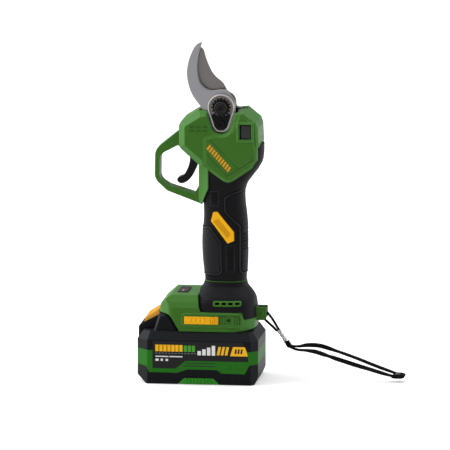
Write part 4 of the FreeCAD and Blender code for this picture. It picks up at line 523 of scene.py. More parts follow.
def grip_relief(x, y, z):
    """Height over the measured surface, and two weights from 0 to 1: painted shade in grooves and
    gaps, painted highlight on lips and frames.
    """
    height = np.full(x.shape, -0.4)
    painted_shade, light = np.zeros(x.shape), np.zeros(x.shape)
    # raised panels with a rounded lip, a groove inside it and a woven texture
    for outline in (PANEL_A, PANEL_B):
        depth = signed_depth(outline, x, z)
        height += 0.62 * smoothstep((depth + 0.1) / 1.0)
        height -= 0.6 * bell(depth, centre=2.3, width=0.5)
        height += 0.2 * bell(depth, centre=0.9, width=0.5)
        # painted shade in the groove and just outside the lip, painted highlight on the lip
        painted_shade = np.maximum(painted_shade, bell(depth, centre=2.2, width=0.42))
        painted_shade = np.maximum(painted_shade, bell(depth, centre=-0.35, width=0.4))
        light = np.maximum(light, bell(depth, centre=0.85, width=0.55))
        wave = 0.5 + 0.5 * np.sin(2 * math.pi * (x * 0.45 + z * 0.89) / 1.9)
        cross_wave = 0.5 + 0.5 * np.sin(2 * math.pi * (-x * 0.8 + z * 0.45) / 2.6)
        texture = smoothstep((depth - 3.0) / 0.6)
        height -= texture * 0.3 * wave * (0.6 + 0.4 * cross_wave)
    # shallow trough around the yellow plate
    height -= 0.18 * smoothstep((signed_depth(ACCENT, x, z) + 2.2) / 1.2)
    # framed ladders of rungs
    for x0, x1, z0, z1, rungs in LADDERS:
        depth = signed_depth(leaning(x0, x1, z0, z1), x, z)
        within = smoothstep((depth - 0.5) / 0.5)
        phase = np.cos(2 * math.pi * (z - z0 - 0.5) / (z1 - z0 - 1.0) * rungs)
        height += 0.25 * bell(depth, centre=-0.1, width=0.5)
        height += 0.5 * within * (0.5 - 0.5 * phase) - 0.2 * smoothstep(depth / 0.8)
        # painted shade in the gaps between rungs, painted highlight on the frame round them
        painted_shade = np.maximum(painted_shade, within * (0.5 + 0.5 * phase) * 0.78 * (depth > 0.4))
        light = np.maximum(light, 0.95 * bell(depth, centre=-0.1, width=0.45))
    # ribs over the +X edge
    within = smoothstep((signed_depth(EDGE_RIBS, x, z) - 0.2) / 0.6)
    gap = within * (0.5 + 0.5 * np.cos(2 * math.pi * (z - EDGE_RIBS[0][1]) / EDGE_RIB_PITCH))
    height -= 0.7 * gap
    # painted shade in the gaps between the ribs
    painted_shade = np.maximum(painted_shade, gap)
    # smooth neck above the panels
    neck = smoothstep((z - 178.6) / 0.9)
    height = height * (1 - neck) + neck * 0.12
    # parting line
    height -= 0.22 * bell(y, centre=0, width=0.28)
    # rounded lower end
    rise = np.clip((z - GRIP_Z0) / 1.3, 0, 1)
    height -= (1 - np.sqrt(np.clip(1 - (1 - rise) ** 2, 0, 1))) * 0.9
    return np.maximum(height, -0.46 - 0.6 * (z < 93.8)), painted_shade, light


def grip_skin(side):
    """Mesh of one side of the overmould and its material index per face."""
    unit_x, unit_y = even_half_section()
    x, y, z = [], [], []
    for level in np.linspace(GRIP_Z0, GRIP_Z1, GRIP_ROWS):
        middle, half_x, half_y = grip_section(level)
        x.append(middle + half_x * unit_x)
        y.append(side * half_y * unit_y)
        z.append(np.full_like(unit_x, level))
    x, y, z = np.array(x), np.array(y), np.array(z)
    # outward normal in plan
    normal_x, normal_y = np.gradient(y, axis=1), -np.gradient(x, axis=1)
    length = np.hypot(normal_x, normal_y)
    normal_x, normal_y = normal_x / length, normal_y / length
    flip = np.sign(normal_x * (x - 1.5) + normal_y * y)
    height, painted_shade, light = grip_relief(x, y, z)
    raised_x, raised_y = x + normal_x * flip * height, y + normal_y * flip * height
    verts = np.stack([raised_x, raised_y, z], -1).reshape(-1, 3)
    grid = np.arange(x.size).reshape(x.shape)
    quads = np.stack([grid[:-1, :-1], grid[:-1, 1:], grid[1:, 1:], grid[1:, :-1]], -1)
    quads = quads.reshape(-1, 4)
    covered = signed_depth(GREEN_AREA, x.reshape(-1), z.reshape(-1)) < 0.9
    quads = quads[covered[quads].all(1)]
    if side < 0:
        quads = quads[:, ::-1]

    def face_mean(values):
        return values.reshape(-1)[quads].mean(axis=1)

    # 0 plain, 1 groove with painted shade, 2 ridge with painted highlight, 3 inside of panel A paled
    # as painted sheen
    shade = np.where(face_mean(light) > 0.62, 2, 0)
    shade = np.where(face_mean(painted_shade) > 0.62, 1, shade) * (face_mean(z) < 178.4)
    painted_sheen = (face_mean(signed_depth(PANEL_A, x, z)) > 1.4) & (shade == 0)
    shade = np.where(painted_sheen, 3, shade)
    used, renumbered = np.unique(quads, return_inverse=True)
    faces = [tuple(quad) for quad in renumbered.reshape(quads.shape).tolist()]
    return (verts[used].tolist(), faces), shade.tolist()


def build_grip():
    for side, tag in SIDES:
        mesh, shade = grip_skin(side)
        part("grip_surface_" + tag, mesh, [BLACK, GROOVE_SHADE, RIDGE_HIGHLIGHT, PANEL_SHEEN], "housing",
             smooth=180, face_mats=shade)


def build_grip_ring():
    """Green ring between the grip and the collar below it."""
    ring_z, section_z = 92.3, 92.6
    rings = []
    unit_x, unit_y = rounded_box(np.array(angles(96)))
    for rise, offset in ((0.0, -0.9), (0.06, -0.3), (0.3, -0.15), (0.54, -0.3), (0.6, -0.9)):
        middle, half_x, half_y = grip_section(section_z + rise)
        xs = middle + (half_x + offset) * unit_x
        ys = (half_y + offset) * unit_y
        rings.append([(x, y, ring_z + rise) for x, y in zip(xs.tolist(), ys.tolist())])
    part("grip_ring", loft(rings, False), GREEN, "housing", smooth=180)


# ------------------------------------------------------------------ collar and lug
VENTS, VENT_X, VENT_PITCH, VENT_WIDTH = 4, -4.15, 6.1, 4.0
COLLAR_X, COLLAR_HALF_X, COLLAR_HALF_Y = 0.05, 30.05, 32.0


def build_vent_shade():
    """Dark sheets in the vent slots as painted shade, following the round of the collar."""
    for side, tag in SIDES:
        shade_sheets = []
        for k in range(VENTS):
            curve = []
            for j in range(5):
                x = VENT_X + VENT_PITCH * k + VENT_WIDTH * j / 4
                u = abs((x - COLLAR_X) / COLLAR_HALF_X)
                curve.append((x, COLLAR_HALF_Y * (1 - u**SQUARENESS) ** (1 / SQUARENESS)))
            ring = [(x, side * (y - 1.15)) for x, y in curve]
            ring += [(x, side * (y - 1.5)) for x, y in reversed(curve)]
            shade_sheets.append(loft([[(x, y, z) for x, y in ring] for z in (73.45, 75.55)]))
        part("vent_shade_" + tag, merge(shade_sheets), SHADE_AND_MASK_BLACK, "housing")


def build_lug():
    """Pin plugs, skirts under the cheeks and a dark sheet in the slot as painted shade, at the
    lanyard lug.
    """
    plugs, skirts = [], []
    for side, _ in SIDES:
        profile = [(1.9, side * 7.1), (1.9, side * 7.45), (1.6, side * 7.6)]
        plugs.append(turned(profile, PIN_X, PIN_Z, 32))
        outline = [(28.6, 57.7), (28.9, 55.7), (38.0, 55.7), (40.1, 57.7)]
        skirts.append(prism(outline, side * 4.3, side * 7.15))
    # painted shade: dark sheets over the inner walls of the slot
    slot_shade = [box(31.9, 40.1, 3.7, 3.98, 58.0, 67.3), box(31.85, 32.1, -3.9, 3.9, 58.0, 67.3)]
    part("pin_plugs", merge(plugs), GREEN, "housing", smooth=30)
    part("lug_skirts", merge(skirts), GREEN, "housing", smooth=30, bevel=0.35)
    part("lug_slot_shade", merge(slot_shade), SHADE_AND_MASK_BLACK, "housing")


def build_accents():
    """Yellow grip plates with ribs along their +X upper edge direction."""
    (x0, z0), (x1, z1) = ACCENT[1:3]
    along = Vector((x1 - x0, z1 - z0)).normalized()
    half_width = across(along) * 0.28
    first, spread = Vector((-8.3, 149.9)), Vector((0.81, 0.62))
    for side, tag in SIDES:
        body = prism(ACCENT, side * 17.95, side * 20.35)
        part("accent_body_" + tag, body, YELLOW, "housing", smooth=30, bevel=0.45)
        ribs = []
        for k in range(5):
            origin = first + spread * (0.9 + 1.05 * k)
            start = origin + along * (1.2 + 0.15 * k)
            end = origin + along * (21.5 - 0.35 * k)
            corners = (start - half_width, end - half_width, end + half_width, start + half_width)
            ribs.append(prism([c[:] for c in corners], side * 20.2, side * 20.6))
        part("accent_ribs_" + tag, merge(ribs), DEEPYELLOW, "housing",
             smooth=30, bevel=0.12)
    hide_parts("accent_plates")


# ------------------------------------------------------------------ blades
# (x, z) points along each edge
HOOK_OUTER = [
    (-17.9, 314.7), (-22.3, 312.9), (-25.5, 309.2), (-28.6, 302.4), (-30.8, 295.2),
    (-31.9, 287.8), (-31.6, 281.1), (-30.2, 274.4), (-28.0, 268.1), (-24.9, 262.6),
    (-21.2, 257.8), (-17.6, 253.2),
]
HOOK_TANG = [
    (-15.6, 243.0), (-14.0, 223.0), (14.0, 223.0), (13.6, 240.0), (12.6, 250.0),
    (12.6, 257.0), (11.2, 262.0), (8.6, 266.4), (7.1, 268.9),
]
HOOK_INNER = [
    (4.2, 271.3), (-1.6, 271.2), (-7.2, 270.3), (-12.2, 271.0), (-16.2, 273.5),
    (-19.6, 277.9), (-21.5, 284.1), (-22.3, 290.4), (-22.2, 296.5), (-21.2, 303.4),
    (-19.8, 308.5),
]
CUTTER_BACK = [
    (-20.6, 310.0), (-18.6, 308.4), (-17.1, 306.4), (-16.2, 303.8), (-15.0, 299.5),
    (-12.7, 293.3), (-9.4, 286.5), (-5.4, 281.6), (-1.0, 278.2), (1.6, 275.2), (4.6, 269.6),
]
CUTTER_EDGE = [  # from the end of the root to the tip, both left out here
    (-15.6, 265.4), (-19.4, 270.6), (-22.8, 276.6), (-25.0, 283.2), (-25.8, 290.2),
    (-25.4, 297.2), (-23.8, 304.0),
]
ROOT_RADIUS = 12.0  # about the pivot
ROOT_START, ROOT_END = math.radians(52), math.radians(-204)
ROOT_STEPS = 40


def set_back(outline, count, width, fade):
    """Outline whose last count points move inward by width, times fade(steps from an end)."""
    first = len(outline) - count

    def moved(shift):
        out = list(outline)
        for k in range(count):
            i = first + k
            (ax, az), (bx, bz) = outline[i - 1], outline[(i + 1) % len(outline)]
            length = math.hypot(bx - ax, bz - az)
            reach = shift * fade(min(k, count - 1 - k))
            x, z = outline[i]
            out[i] = (x + (bz - az) / length * reach, z - (bx - ax) / length * reach)
        return out

    ring = moved(width)
    x, z = ring[len(outline) - count // 2]
    return ring if signed_depth(outline, [x], [z])[0] > 0 else moved(-width)


def build_fixed_blade():
    inner = catmull(HOOK_INNER, 5)
    outline = catmull(HOOK_OUTER, 5) + HOOK_TANG + inner
    face = set_back(outline, len(inner), width=1.0, fade=lambda steps: min(1, steps / 6))
    low, high = box_mm("fixed_blade")
    mesh = loft([at_depth(face, low.y), at_depth(outline, low.y + 0.5), at_depth(outline, high.y)])
    blade = part("fixed_blade_ground", mesh, BLADE, "housing", smooth=24, bevel=0.3)
    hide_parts("fixed_blade")


def build_moving_blade():
    root = []
    for k in range(ROOT_STEPS + 1):
        g = ROOT_START + (ROOT_END - ROOT_START) * k / ROOT_STEPS
        root.append((ROOT_RADIUS * math.cos(g), PIVOT_Z + ROOT_RADIUS * math.sin(g)))
    edge = catmull([root[-1]] + CUTTER_EDGE + [CUTTER_BACK[0]], 5)[1:-1]
    outline = catmull(CUTTER_BACK, 4) + root + edge
    ground = set_back(outline, len(edge), width=5.5, fade=lambda steps: smoothstep(steps / 7))
    low, high = box_mm("moving_blade")
    verts, faces = loft([
        at_depth(outline, low.y),
        at_depth(outline, low.y + 0.35),
        at_depth(ground, high.y),
    ])
    # the second band of faces carries the ground edge
    face_mats = [0] * len(faces)
    band_end = 2 * len(outline)
    face_mats[band_end - len(edge):band_end] = [1] * len(edge)
    blade = part("moving_blade_ground", (verts, faces), [CUTTER, GROUND], "blade",
                 smooth=24, face_mats=face_mats)
    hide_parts("moving_blade")


# ------------------------------------------------------------------ head trim
RIDGE_PATH = [(-10.6, 213.8), (6.4, 194.2), (28.2, 208.4), (28.4, 216.0)]
RIDGE_HALF_WIDTH, RIDGE_OVERLAP = 0.32, 0.3
BARS_START, BARS_END = Vector((-11.6, 219.8)), Vector((8.8, 197.6))
BARS, BAR_HALF_WIDTH, BAR_HALF_HEIGHT, BAR_LEAN = 10, 0.98, 2.5, 0.5


def plate_ridge(side):
    """Ridge parallel to the lower edge of the side plate."""
    pieces = []
    for start, end in zip(RIDGE_PATH, RIDGE_PATH[1:]):
        along = Vector((end[0] - start[0], end[1] - start[1])).normalized()
        w = across(along) * RIDGE_HALF_WIDTH
        a = Vector(start) - along * RIDGE_OVERLAP
        b = Vector(end) + along * RIDGE_OVERLAP
        corners = (a + w, a - w, b - w, b + w)
        pieces.append(prism([c[:] for c in corners], side * 25.0, side * 25.5))
    return merge(pieces)


def plate_bars(side):
    """Row of slanted bars in the recessed band."""
    along = (BARS_END - BARS_START).normalized()
    length = (BARS_END - BARS_START).length
    rise = across(along) * BAR_HALF_HEIGHT
    narrow, wide = BAR_HALF_WIDTH - BAR_LEAN, BAR_HALF_WIDTH + BAR_LEAN
    pieces = []
    for k in range(BARS):
        centre = BARS_START + along * (length * (k + 0.5) / BARS)
        corners = (
            centre - along * narrow - rise,
            centre + along * wide - rise,
            centre + along * narrow + rise,
            centre - along * wide + rise,
        )
        pieces.append(prism([c[:] for c in corners], side * 24.6, side * 25.3))
    return merge(pieces)


def panel_marks(side):
    """Two rows of three plain blocks on the upper -X panel."""
    pieces = []
    for k in range(3):
        x = -28.6 + 6.0 * k
        for z in (236.4, 232.8):
            pieces.append(box(x, x + 4.2, side * 23.9, side * 24.2, z, z + 1.8))
    return merge(pieces)


def build_side_trim():
    for side, tag in SIDES:
        part("plate_ridge_" + tag, plate_ridge(side), GREEN, "housing",
             smooth=30, bevel=0.2)
        part("plate_bars_" + tag, plate_bars(side), PRINTAMBER, "housing",
             smooth=30)
        part("panel_marks_" + tag, panel_marks(side), MARK, "housing",
             smooth=30, bevel=0.1)


def build_display():
    """Dark mask over the lens, with an unlit window on it."""
    low, high = box_mm("display_lens")
    y = low.y
    mask = box(low.x + 0.02, high.x - 0.02, y - 0.06, y + 0.02, low.z + 0.02, high.z - 0.02)
    pane = box(low.x + 0.95, high.x - 0.6, y - 0.16, y - 0.02, low.z + 0.5, high.z - 0.9)
    part("display_mask", mask, SHADE_AND_MASK_BLACK, "housing", smooth=30)
    part("display_pane", pane, GLASS, "housing", smooth=30, bevel=0.05)


def half_hull(points):
    """One half of the convex hull of sorted points."""
    out = []
    for q in points:
        while len(out) > 1:
            a, b = out[-2:]
            if (b[0] - a[0]) * (q[1] - a[1]) - (b[1] - a[1]) * (q[0] - a[0]) > 0:
                break
            out.pop()
        out.append(q)
    return out


def build_plate_rim():
    """Rim all round the pivot plate, from the plate's own outline, bright as painted highlight."""
    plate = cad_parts["pivot_plate"]
    corners = [plate.matrix_world @ v.co for v in plate.data.vertices]
    points = sorted({(round(c.x / MM, 3), round(c.z / MM, 3)) for c in corners})
    hull = half_hull(points)[:-1] + half_hull(reversed(points))[:-1]
    loop = [Vector(q) for q in hull]
    face_y = box_mm("pivot_plate")[0].y
    rings = []
    # rim profile: inset from the outline, depth from the plate's face
    for inset, dy in ((0.1, 0.5), (0.0, 0.1), (0.2, -0.12), (0.5, -0.2), (0.78, -0.1), (0.9, 0.3)):
        ring = []
        for i, q in enumerate(loop):
            inward = across((loop[(i + 1) % len(loop)] - loop[i - 1]).normalized())
            ring.append((q.x + inward.x * inset, face_y + dy, q.y + inward.y * inset))
        rings.append(ring)
    part("plate_rim", loft(rings, False), RIM_HIGHLIGHT, "housing", smooth=50)


def build_bolt_collar():
    """Collar and socket of the bolt head, proud of the adjusting nut."""
    front = min(nut_low.y, box_mm("pivot_bolt")[0].y)
    profile = (  # radius, depth from the frontmost face
        (5.6, 0.35), (5.3, -0.1), (4.6, -0.15), (4.2, 0.1), (3.6, 0.1), (3.3, -0.25),
        (2.7, -0.25), (2.5, 0.2), (0.02, 0.2),
    )
    hub = turned([(r, front + dy) for r, dy in profile], 0, PIVOT_Z, 48, closed_ends=False)
    part("bolt_collar", hub, HUB, "housing", smooth=25)


def build_badge_relief():
    """Upright ribs and slanted strokes on the two foot badges."""
    low, high = box_mm("foot_badges")
    z0, z1 = low.z + 0.7, high.z - 0.7
    relief = []
    for y in (low.y, high.y):
        out = -1 if y < 0 else 1
        for k in range(4):
            x = high.x - 8.6 + 2.1 * k
            relief.append(box(x, x + 1.0, y - 0.1 * out, y + 0.32 * out, z0, z1))
        for k in range(4):
            x = low.x + 3.4 + 4.3 * k
            stroke = leaning(x, x + 2.4, z0 + 0.6, z1 - 0.6, lean=0.8)
            relief.append(prism(stroke, y - 0.1 * out, y + 0.16 * out))
    part("badge_relief", merge(relief), YELLOW, "housing", smooth=30, bevel=0.12)


def build_button_marks():
    """Red ring with a stroke, and a white bar, on top of the power button."""
    x, top = -36.4, box_mm("power_button")[1].z
    ring_y, sunk, raised = -3.4, top - 0.02, top + 0.1
    rings = []
    for r, z in ((2.0, sunk), (2.0, raised), (1.35, raised), (1.35, sunk)):
        rings.append([
            (x - 0.2 + r * math.cos(g), ring_y + 1.2 * r * math.sin(g), z) for g in angles(28)
        ])
    stroke = slab(x - 0.5, x + 2.6, ring_y, ring_y + 0.8, sunk, raised)
    part("button_mark", merge([loft(rings, False), stroke]), RED, "power_button",
         smooth=30)
    part("button_bar", slab(x - 0.6, x + 0.4, -9.5, -6.0, sunk, top + 0.08), WHITE,
         "power_button", smooth=30)


# ------------------------------------------------------------------ battery pack
BLOCK_PITCH, BLOCK_WIDTH = 3.7, 3.0
TAG_OUTLINE = [
    (10.6, 27.0), (26.8, 27.0), (26.4, 29.4), (24.2, 35.6), (13.2, 35.6), (11.8, 31.4),
]
ON_FILM, ON_TAG = (-0.03, 0.06), (0.0, 0.1)  # depths of print, from the face of the label


def blocks(x, count, z0, z1):
    starts = [x + BLOCK_PITCH * k for k in range(count)]
    return [leaning(start, start + BLOCK_WIDTH, z0, z1) for start in starts]


# name, material, depths, outlines
LABEL_PRINTS = [
    ("blocks_yellow", PRINTYELLOW, ON_FILM, blocks(-58.7, 7, 30.2, 36.4)),
    ("blocks_green", PRINTGREEN, ON_FILM, blocks(-32.4, 3, 30.2, 36.0)),
    ("rule", PRINTGREY, ON_FILM,
     [leaning(-58.6 + 3.0 * k, -57.0 + 3.0 * k, 28.2, 28.9) for k in range(13)]),
    ("lines", WHITE, ON_FILM, [
        leaning(-58.6, -46.6, 25.0, 26.0),
        leaning(-45.6, -33.6, 25.0, 26.0),
        leaning(-58.6, -55.6, 21.3, 23.3),
        leaning(-53.8, -51.6, 21.3, 23.3),
        leaning(-49.2, -46.9, 21.3, 23.3),
    ]),
    ("charge", WHITE, ON_FILM,
     [leaning(-19.7 + 4.4 * k, -16.5 + 4.4 * k, 27.2, 31.2 + 1.7 * k) for k in range(4)]),
    ("slashes", PRINTYELLOW, ON_FILM,
     [leaning(-1.9 + 3.7 * k, 0.6 + 3.7 * k, 27.6, 35.4, lean=1.6) for k in range(3)]),
    ("tag", PRINTYELLOW, ON_FILM, [TAG_OUTLINE]),
    ("tag_bars", LABEL, ON_TAG,
     [leaning(14.6 + 2.7 * k, 16.2 + 2.7 * k, 29.2, 33.6, lean=0.6) for k in range(3)]),
]


def band_grooves(side):
    # dark strips in the grooves as painted shade
    grooves = []
    for z, x0, x1 in ((19.6, -31.0, -3.6), (17.0, -33.6, -3.6)):
        outline = [(x0, z - 0.45), (x1, z - 0.45), (x1 + 0.5, z + 0.45), (x0 + 1.0, z + 0.45)]
        grooves.append(prism(outline, side * 37.3, side * 37.54))
    return merge(grooves)


def band_relief(side):
    """Three slanted blocks on the green band."""
    xs = [5.0 + 6.4 * k for k in range(3)]
    outlines = [leaning(x, x + 4.8, 14.2, 18.8, lean=1.0) for x in xs]
    return merge([prism(outline, side * 37.4, side * 37.75) for outline in outlines])


def base_ribs(side):
    """Two groups of upright ribs low on the base."""
    xs = [first + 2.7 * k for first, count in ((-62.0, 8), (5.0, 7)) for k in range(count)]
    return merge([box(x, x + 1.2, side * 37.3, side * 37.78, 1.6, 8.2) for x in xs])


def build_pack_dress():
    label_y = box_mm("pack_labels")[1].y
    for side, tag in SIDES:
        for name, mat, (bottom, top), outlines in LABEL_PRINTS:
            y0, y1 = side * (label_y + bottom), side * (label_y + top)
            mesh = merge([prism(outline, y0, y1) for outline in outlines])
            part(f"label_{name}_{tag}", mesh, mat, "battery")
        part("band_grooves_" + tag, band_grooves(side), BAND_GROOVE_SHADE, "battery")
        part("band_relief_" + tag, band_relief(side), PACKGREEN, "battery",
             smooth=30, bevel=0.2)
        part("base_ribs_" + tag, base_ribs(side), HARDBLACK, "battery",
             smooth=30, bevel=0.25)


def build_release():
    """Release button with ribs across its sloping face."""
    (x0, z0), (x1, z1) = slope = [(-70.6, 58.4), (-58.6, 65.9)]
    outline = [(-72.2, 51.9), (-72.0, 53.2), *slope, (-57.7, 65.9), (-57.7, 51.9)]
    body = merge([
        prism(outline, -13.8, 13.8),
        box(-58.0, -49.0, -9.0, 9.0, 59.6, 63.4),
        box(-53.4, -49.0, -9.0, 9.0, 63.0, 67.2),
    ])
    ribs = []
    for k in range(6):
        x = -69.2 + 1.85 * k
        z = z0 + (x - x0) * (z1 - z0) / (x1 - x0)
        rib = [(x, z - 0.3), (x + 0.9, z + 0.26), (x + 0.5, z + 1.0), (x - 0.4, z + 0.44)]
        ribs.append(prism(rib, -11.4, 11.4))
    made = part("release_body", body, ORANGE, "latch", smooth=30, bevel=0.5)
    part("release_ribs", merge(ribs), ORANGE, "latch", smooth=30, bevel=0.2)
    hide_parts("release_latch")


# ------------------------------------------------------------------ springs
def build_spring(name, replaced, body, origin, axis, radius, wire_radius, length, turns):
    """Coil from its origin along its axis."""
    start, along = Vector(origin), Vector(axis)
    side = along.cross(Y_AXIS)
    n = int(turns * 20)
    path = []
    for i in range(n + 1):
        g = 2 * math.pi * turns * i / n
        travel = wire_radius + (length - 2 * wire_radius) * i / n
        around = (Y_AXIS * math.cos(g) + side * math.sin(g)) * radius
        path.append(tuple(start + along * travel + around))
    made = part(name, tube(path, wire_radius, 8), SATIN, body, smooth=60)
    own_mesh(made)
    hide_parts(replaced)


def build_springs():
    build_spring("latch_coil", "latch_spring", body="battery",
                 origin=(-65.0, 0, 47.05), axis=(0, 0, 1), radius=3.4, wire_radius=0.4,
                 length=4.5, turns=2.5)
    build_spring("trigger_coil", "trigger_spring", body="housing",
                 origin=(-36.6, 0, 220.6), axis=(1, 0, 0), radius=1.9, wire_radius=0.3,
                 length=5.2, turns=4)


# ------------------------------------------------------------------ lanyard
CORD_START = [(51.12, 0, 46.02), (48.6, 0, 50.4), (45.4, 0, 55.6), (41.8, 0, 60.4)]
CORD_END = [(35.4, 0, 58.1), (38.6, 0, 55.0), (43.0, 0, 51.0), (46.6, 0, 47.8), (49.42, 0, 44.86)]
CORD_LOOP_RADIUS = 2.6  # about the lanyard pin
CORD_RADIUS, CORD_PITCH = 1.22, 5.0
SLEEVE_START, SLEEVE_END = Vector((51.0, 0, 45.5)), Vector((57.6, 0, 35.8))
SLEEVE_AXIS = (SLEEVE_END - SLEEVE_START).normalized()
SLEEVE_SIDE = Y_AXIS.cross(SLEEVE_AXIS)
KNOT = Vector((59.9, 0, 33.2))
STRAP_WIDTH, STRAP_THICKNESS = 3.8, 1.2
# strap runs: x, y, z, twist in degrees
STRAP_UPPER = [
    (60.4, 2.4, 32.0, 0), (63.1, 3.0, 30.5, 0), (69.2, 4.0, 30.2, 5), (76.4, 4.8, 31.2, 35),
    (84.5, 5.5, 31.2, 58), (90.6, 6.0, 30.3, 58), (96.7, 6.2, 28.5, 38), (103.9, 6.4, 26.1, 12),
    (113.2, 6.6, 23.0, 12), (123.4, 6.6, 19.4, 14), (133.7, 6.4, 15.5, 16),
    (144.1, 6.0, 11.7, 16), (153.5, 5.2, 8.6, 10), (160.0, 3.6, 6.8, 0),
]
STRAP_LOWER = [
    (60.2, -2.4, 31.4, 0), (64.9, -3.4, 29.5, 0), (70.2, -4.0, 28.3, 5), (77.4, -4.4, 28.0, 12),
    (85.7, -4.8, 26.9, 45), (91.9, -5.0, 25.1, 50), (98.1, -5.2, 23.2, 15),
    (105.3, -5.4, 20.9, 50), (114.7, -5.5, 18.0, 62), (125.0, -5.5, 14.9, 45),
    (135.3, -5.3, 12.0, 30), (145.5, -4.9, 8.9, 25), (153.5, -4.2, 6.6, 10),
    (159.0, -3.4, 5.2, 0),
]
# the two runs from the sleeve into the knot
KNOT_UPPER = [(56.9, 0, 36.0), (59.0, 1.0, 33.0), (59.6, 2.4, 31.9), (61.0, 3.0, 31.0)]
KNOT_LOWER = [(56.9, 0, 36.0), (58.8, -1.0, 33.0), (59.5, -2.4, 31.6), (61.0, -3.0, 30.6)]
STRAP_END = [
    (156.0, 4.3), (160.5, 3.5), (165.6, 3.7), (168.2, 5.2), (166.4, 7.0), (161.0, 7.4),
    (157.4, 6.4),
]


def build_cord():
    """Cord of three twisted strands, looped round the pin."""
    around_pin = []
    for degrees in range(48, 229, 36):
        g = math.radians(degrees)
        x, z = CORD_LOOP_RADIUS * math.cos(g), CORD_LOOP_RADIUS * math.sin(g)
        around_pin.append((PIN_X + x, 0, PIN_Z + z))
    frames = carried_frames(catmull(CORD_START + around_pin + CORD_END, 10))
    travel = [0.0]
    for (a, *_), (b, *_) in zip(frames, frames[1:]):
        travel.append(travel[-1] + (b - a).length)
    strands = []
    for k in range(3):
        path = []
        for (point, up, side), length in zip(frames, travel):
            g = 2 * math.pi * (length / CORD_PITCH + k / 3)
            offset = (up * math.cos(g) + side * math.sin(g)) * CORD_RADIUS * 0.46
            path.append(tuple(point + offset))
        strands.append(tube(path, CORD_RADIUS * 0.56, 8))
    cord = part("cord_braid", merge(strands), WEB, "lanyard", smooth=180)
    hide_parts("lanyard_cord")


def build_sleeve():
    """Crimped sleeve: a solid round with two pinches and rolled ends."""
    rings = []
    for i in range(25):
        t = i / 24
        pinch = 1 - 0.28 * bell(t, 0.32, 0.08) - 0.28 * bell(t, 0.68, 0.08)
        mouth = 1 + 0.08 * bell(t, 0, 0.05) + 0.08 * bell(t, 1, 0.05)
        half_y, half_side = float(2.1 * mouth), float(1.75 * mouth * pinch)
        centre = SLEEVE_START + (SLEEVE_END - SLEEVE_START) * t
        rings.append([
            tuple(centre + Y_AXIS * (half_y * math.cos(g)) + SLEEVE_SIDE * (half_side * math.sin(g)))
            for g in angles(28)
        ])
    sleeve = part("crimp_sleeve", loft(rings), BRIGHT, "lanyard", smooth=60)
    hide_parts("lanyard_crimp")


def ribbon(stations):
    """Woven strap: a flat band with raised selvedges that twists along its way."""
    points = catmull(stations, 12)
    profile = []  # place across the width, relative thickness
    for k in range(10):
        u = -1 + 2 * k / 9
        selvedge = 0.25 if abs(u) > 0.8 else 0.0
        profile.append((u, 1 + selvedge + 0.12 * math.cos(k * math.pi)))
    rings = []
    for i, (*place, twist) in enumerate(points):
        before, after = points[max(0, i - 1)], points[min(len(points) - 1, i + 1)]
        ahead = (Vector(after[:3]) - Vector(before[:3])).normalized()
        side = (Y_AXIS - ahead * Y_AXIS.dot(ahead)).normalized()
        up = ahead.cross(side).normalized()
        g = math.radians(twist)
        wide = side * math.cos(g) + up * math.sin(g)
        thick = up * math.cos(g) - side * math.sin(g)
        weave = 0.06 * math.sin(i * 2.1)
        ring = []
        for sign, row in ((1, profile), (-1, profile[::-1])):
            for u, h in row:
                lift = sign * (h * 0.5 + sign * weave) * STRAP_THICKNESS
                ring.append(tuple(Vector(place) + wide * (u * STRAP_WIDTH / 2) + thick * lift))
        rings.append(ring)
    return loft(rings)


def knot_mesh():
    """Three wraps round the axis of the sleeve, and the two runs entering them."""
    wrap = []
    for i in range(90):
        g = 2 * math.pi * i / 30
        centre = KNOT + SLEEVE_AXIS * (-3.2 + 6.4 * (i / 89))
        around = Y_AXIS * (1.9 * math.cos(g)) + SLEEVE_SIDE * (1.7 * math.sin(g))
        wrap.append(tuple(centre + around))
    return merge([tube(wrap, 0.95, 8), tube(KNOT_UPPER, 1.1, 8), tube(KNOT_LOWER, 1.1, 8)])


def build_strap():
    """Two woven runs, the knot at the sleeve and the stitched bar at the far end."""
    runs = merge([ribbon(STRAP_UPPER), ribbon(STRAP_LOWER)])
    end = prism(catmull(STRAP_END, 4, closed=True), -6.2, 6.2)
    stitch = [(159.6, 7.2), (163.4, 7.1), (163.4, 7.4), (159.6, 7.5)]
    stitches = merge([prism(stitch, y, y + 0.9) for y in [-5.0 + 2.0 * k for k in range(6)]])
    weave = part("strap_weave", runs, WEB, "lanyard", smooth=50)
    part("strap_knot", knot_mesh(), WEB, "lanyard", smooth=180)
    part("strap_end", end, WEB, "lanyard", smooth=40, bevel=0.6)
    part("strap_stitches", stitches, PRINTGREY, "lanyard")
    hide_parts("lanyard_strap")


# ------------------------------------------------------------------ stage (metres)
def build_floor():
    """Pale floor that looks brighter to the camera than it lights the tool."""
    bpy.ops.mesh.primitive_plane_add(size=30, location=(0, 0, -0.0004))
    floor = bpy.context.object
    floor.name = "floor"
    mat = bpy.data.materials.new("floor")
    mat.use_nodes = True
    tree = mat.node_tree
    seen = new_node(tree, "LightPath").outputs["Is Camera Ray"]
    glow = new_node(tree, "Math", {0: seen, 1: 0.32}, operation="MULTIPLY")
    wire(tree, tree.nodes["Principled BSDF"], {
        "Base Color": (0.86, 0.86, 0.86, 1),
        "Roughness": 0.9,
        "Specular IOR Level": 0.1,
        "Emission Color": (1, 1, 1, 1),
        "Emission Strength": glow.outputs[0],
    })
    floor.data.materials.append(mat)


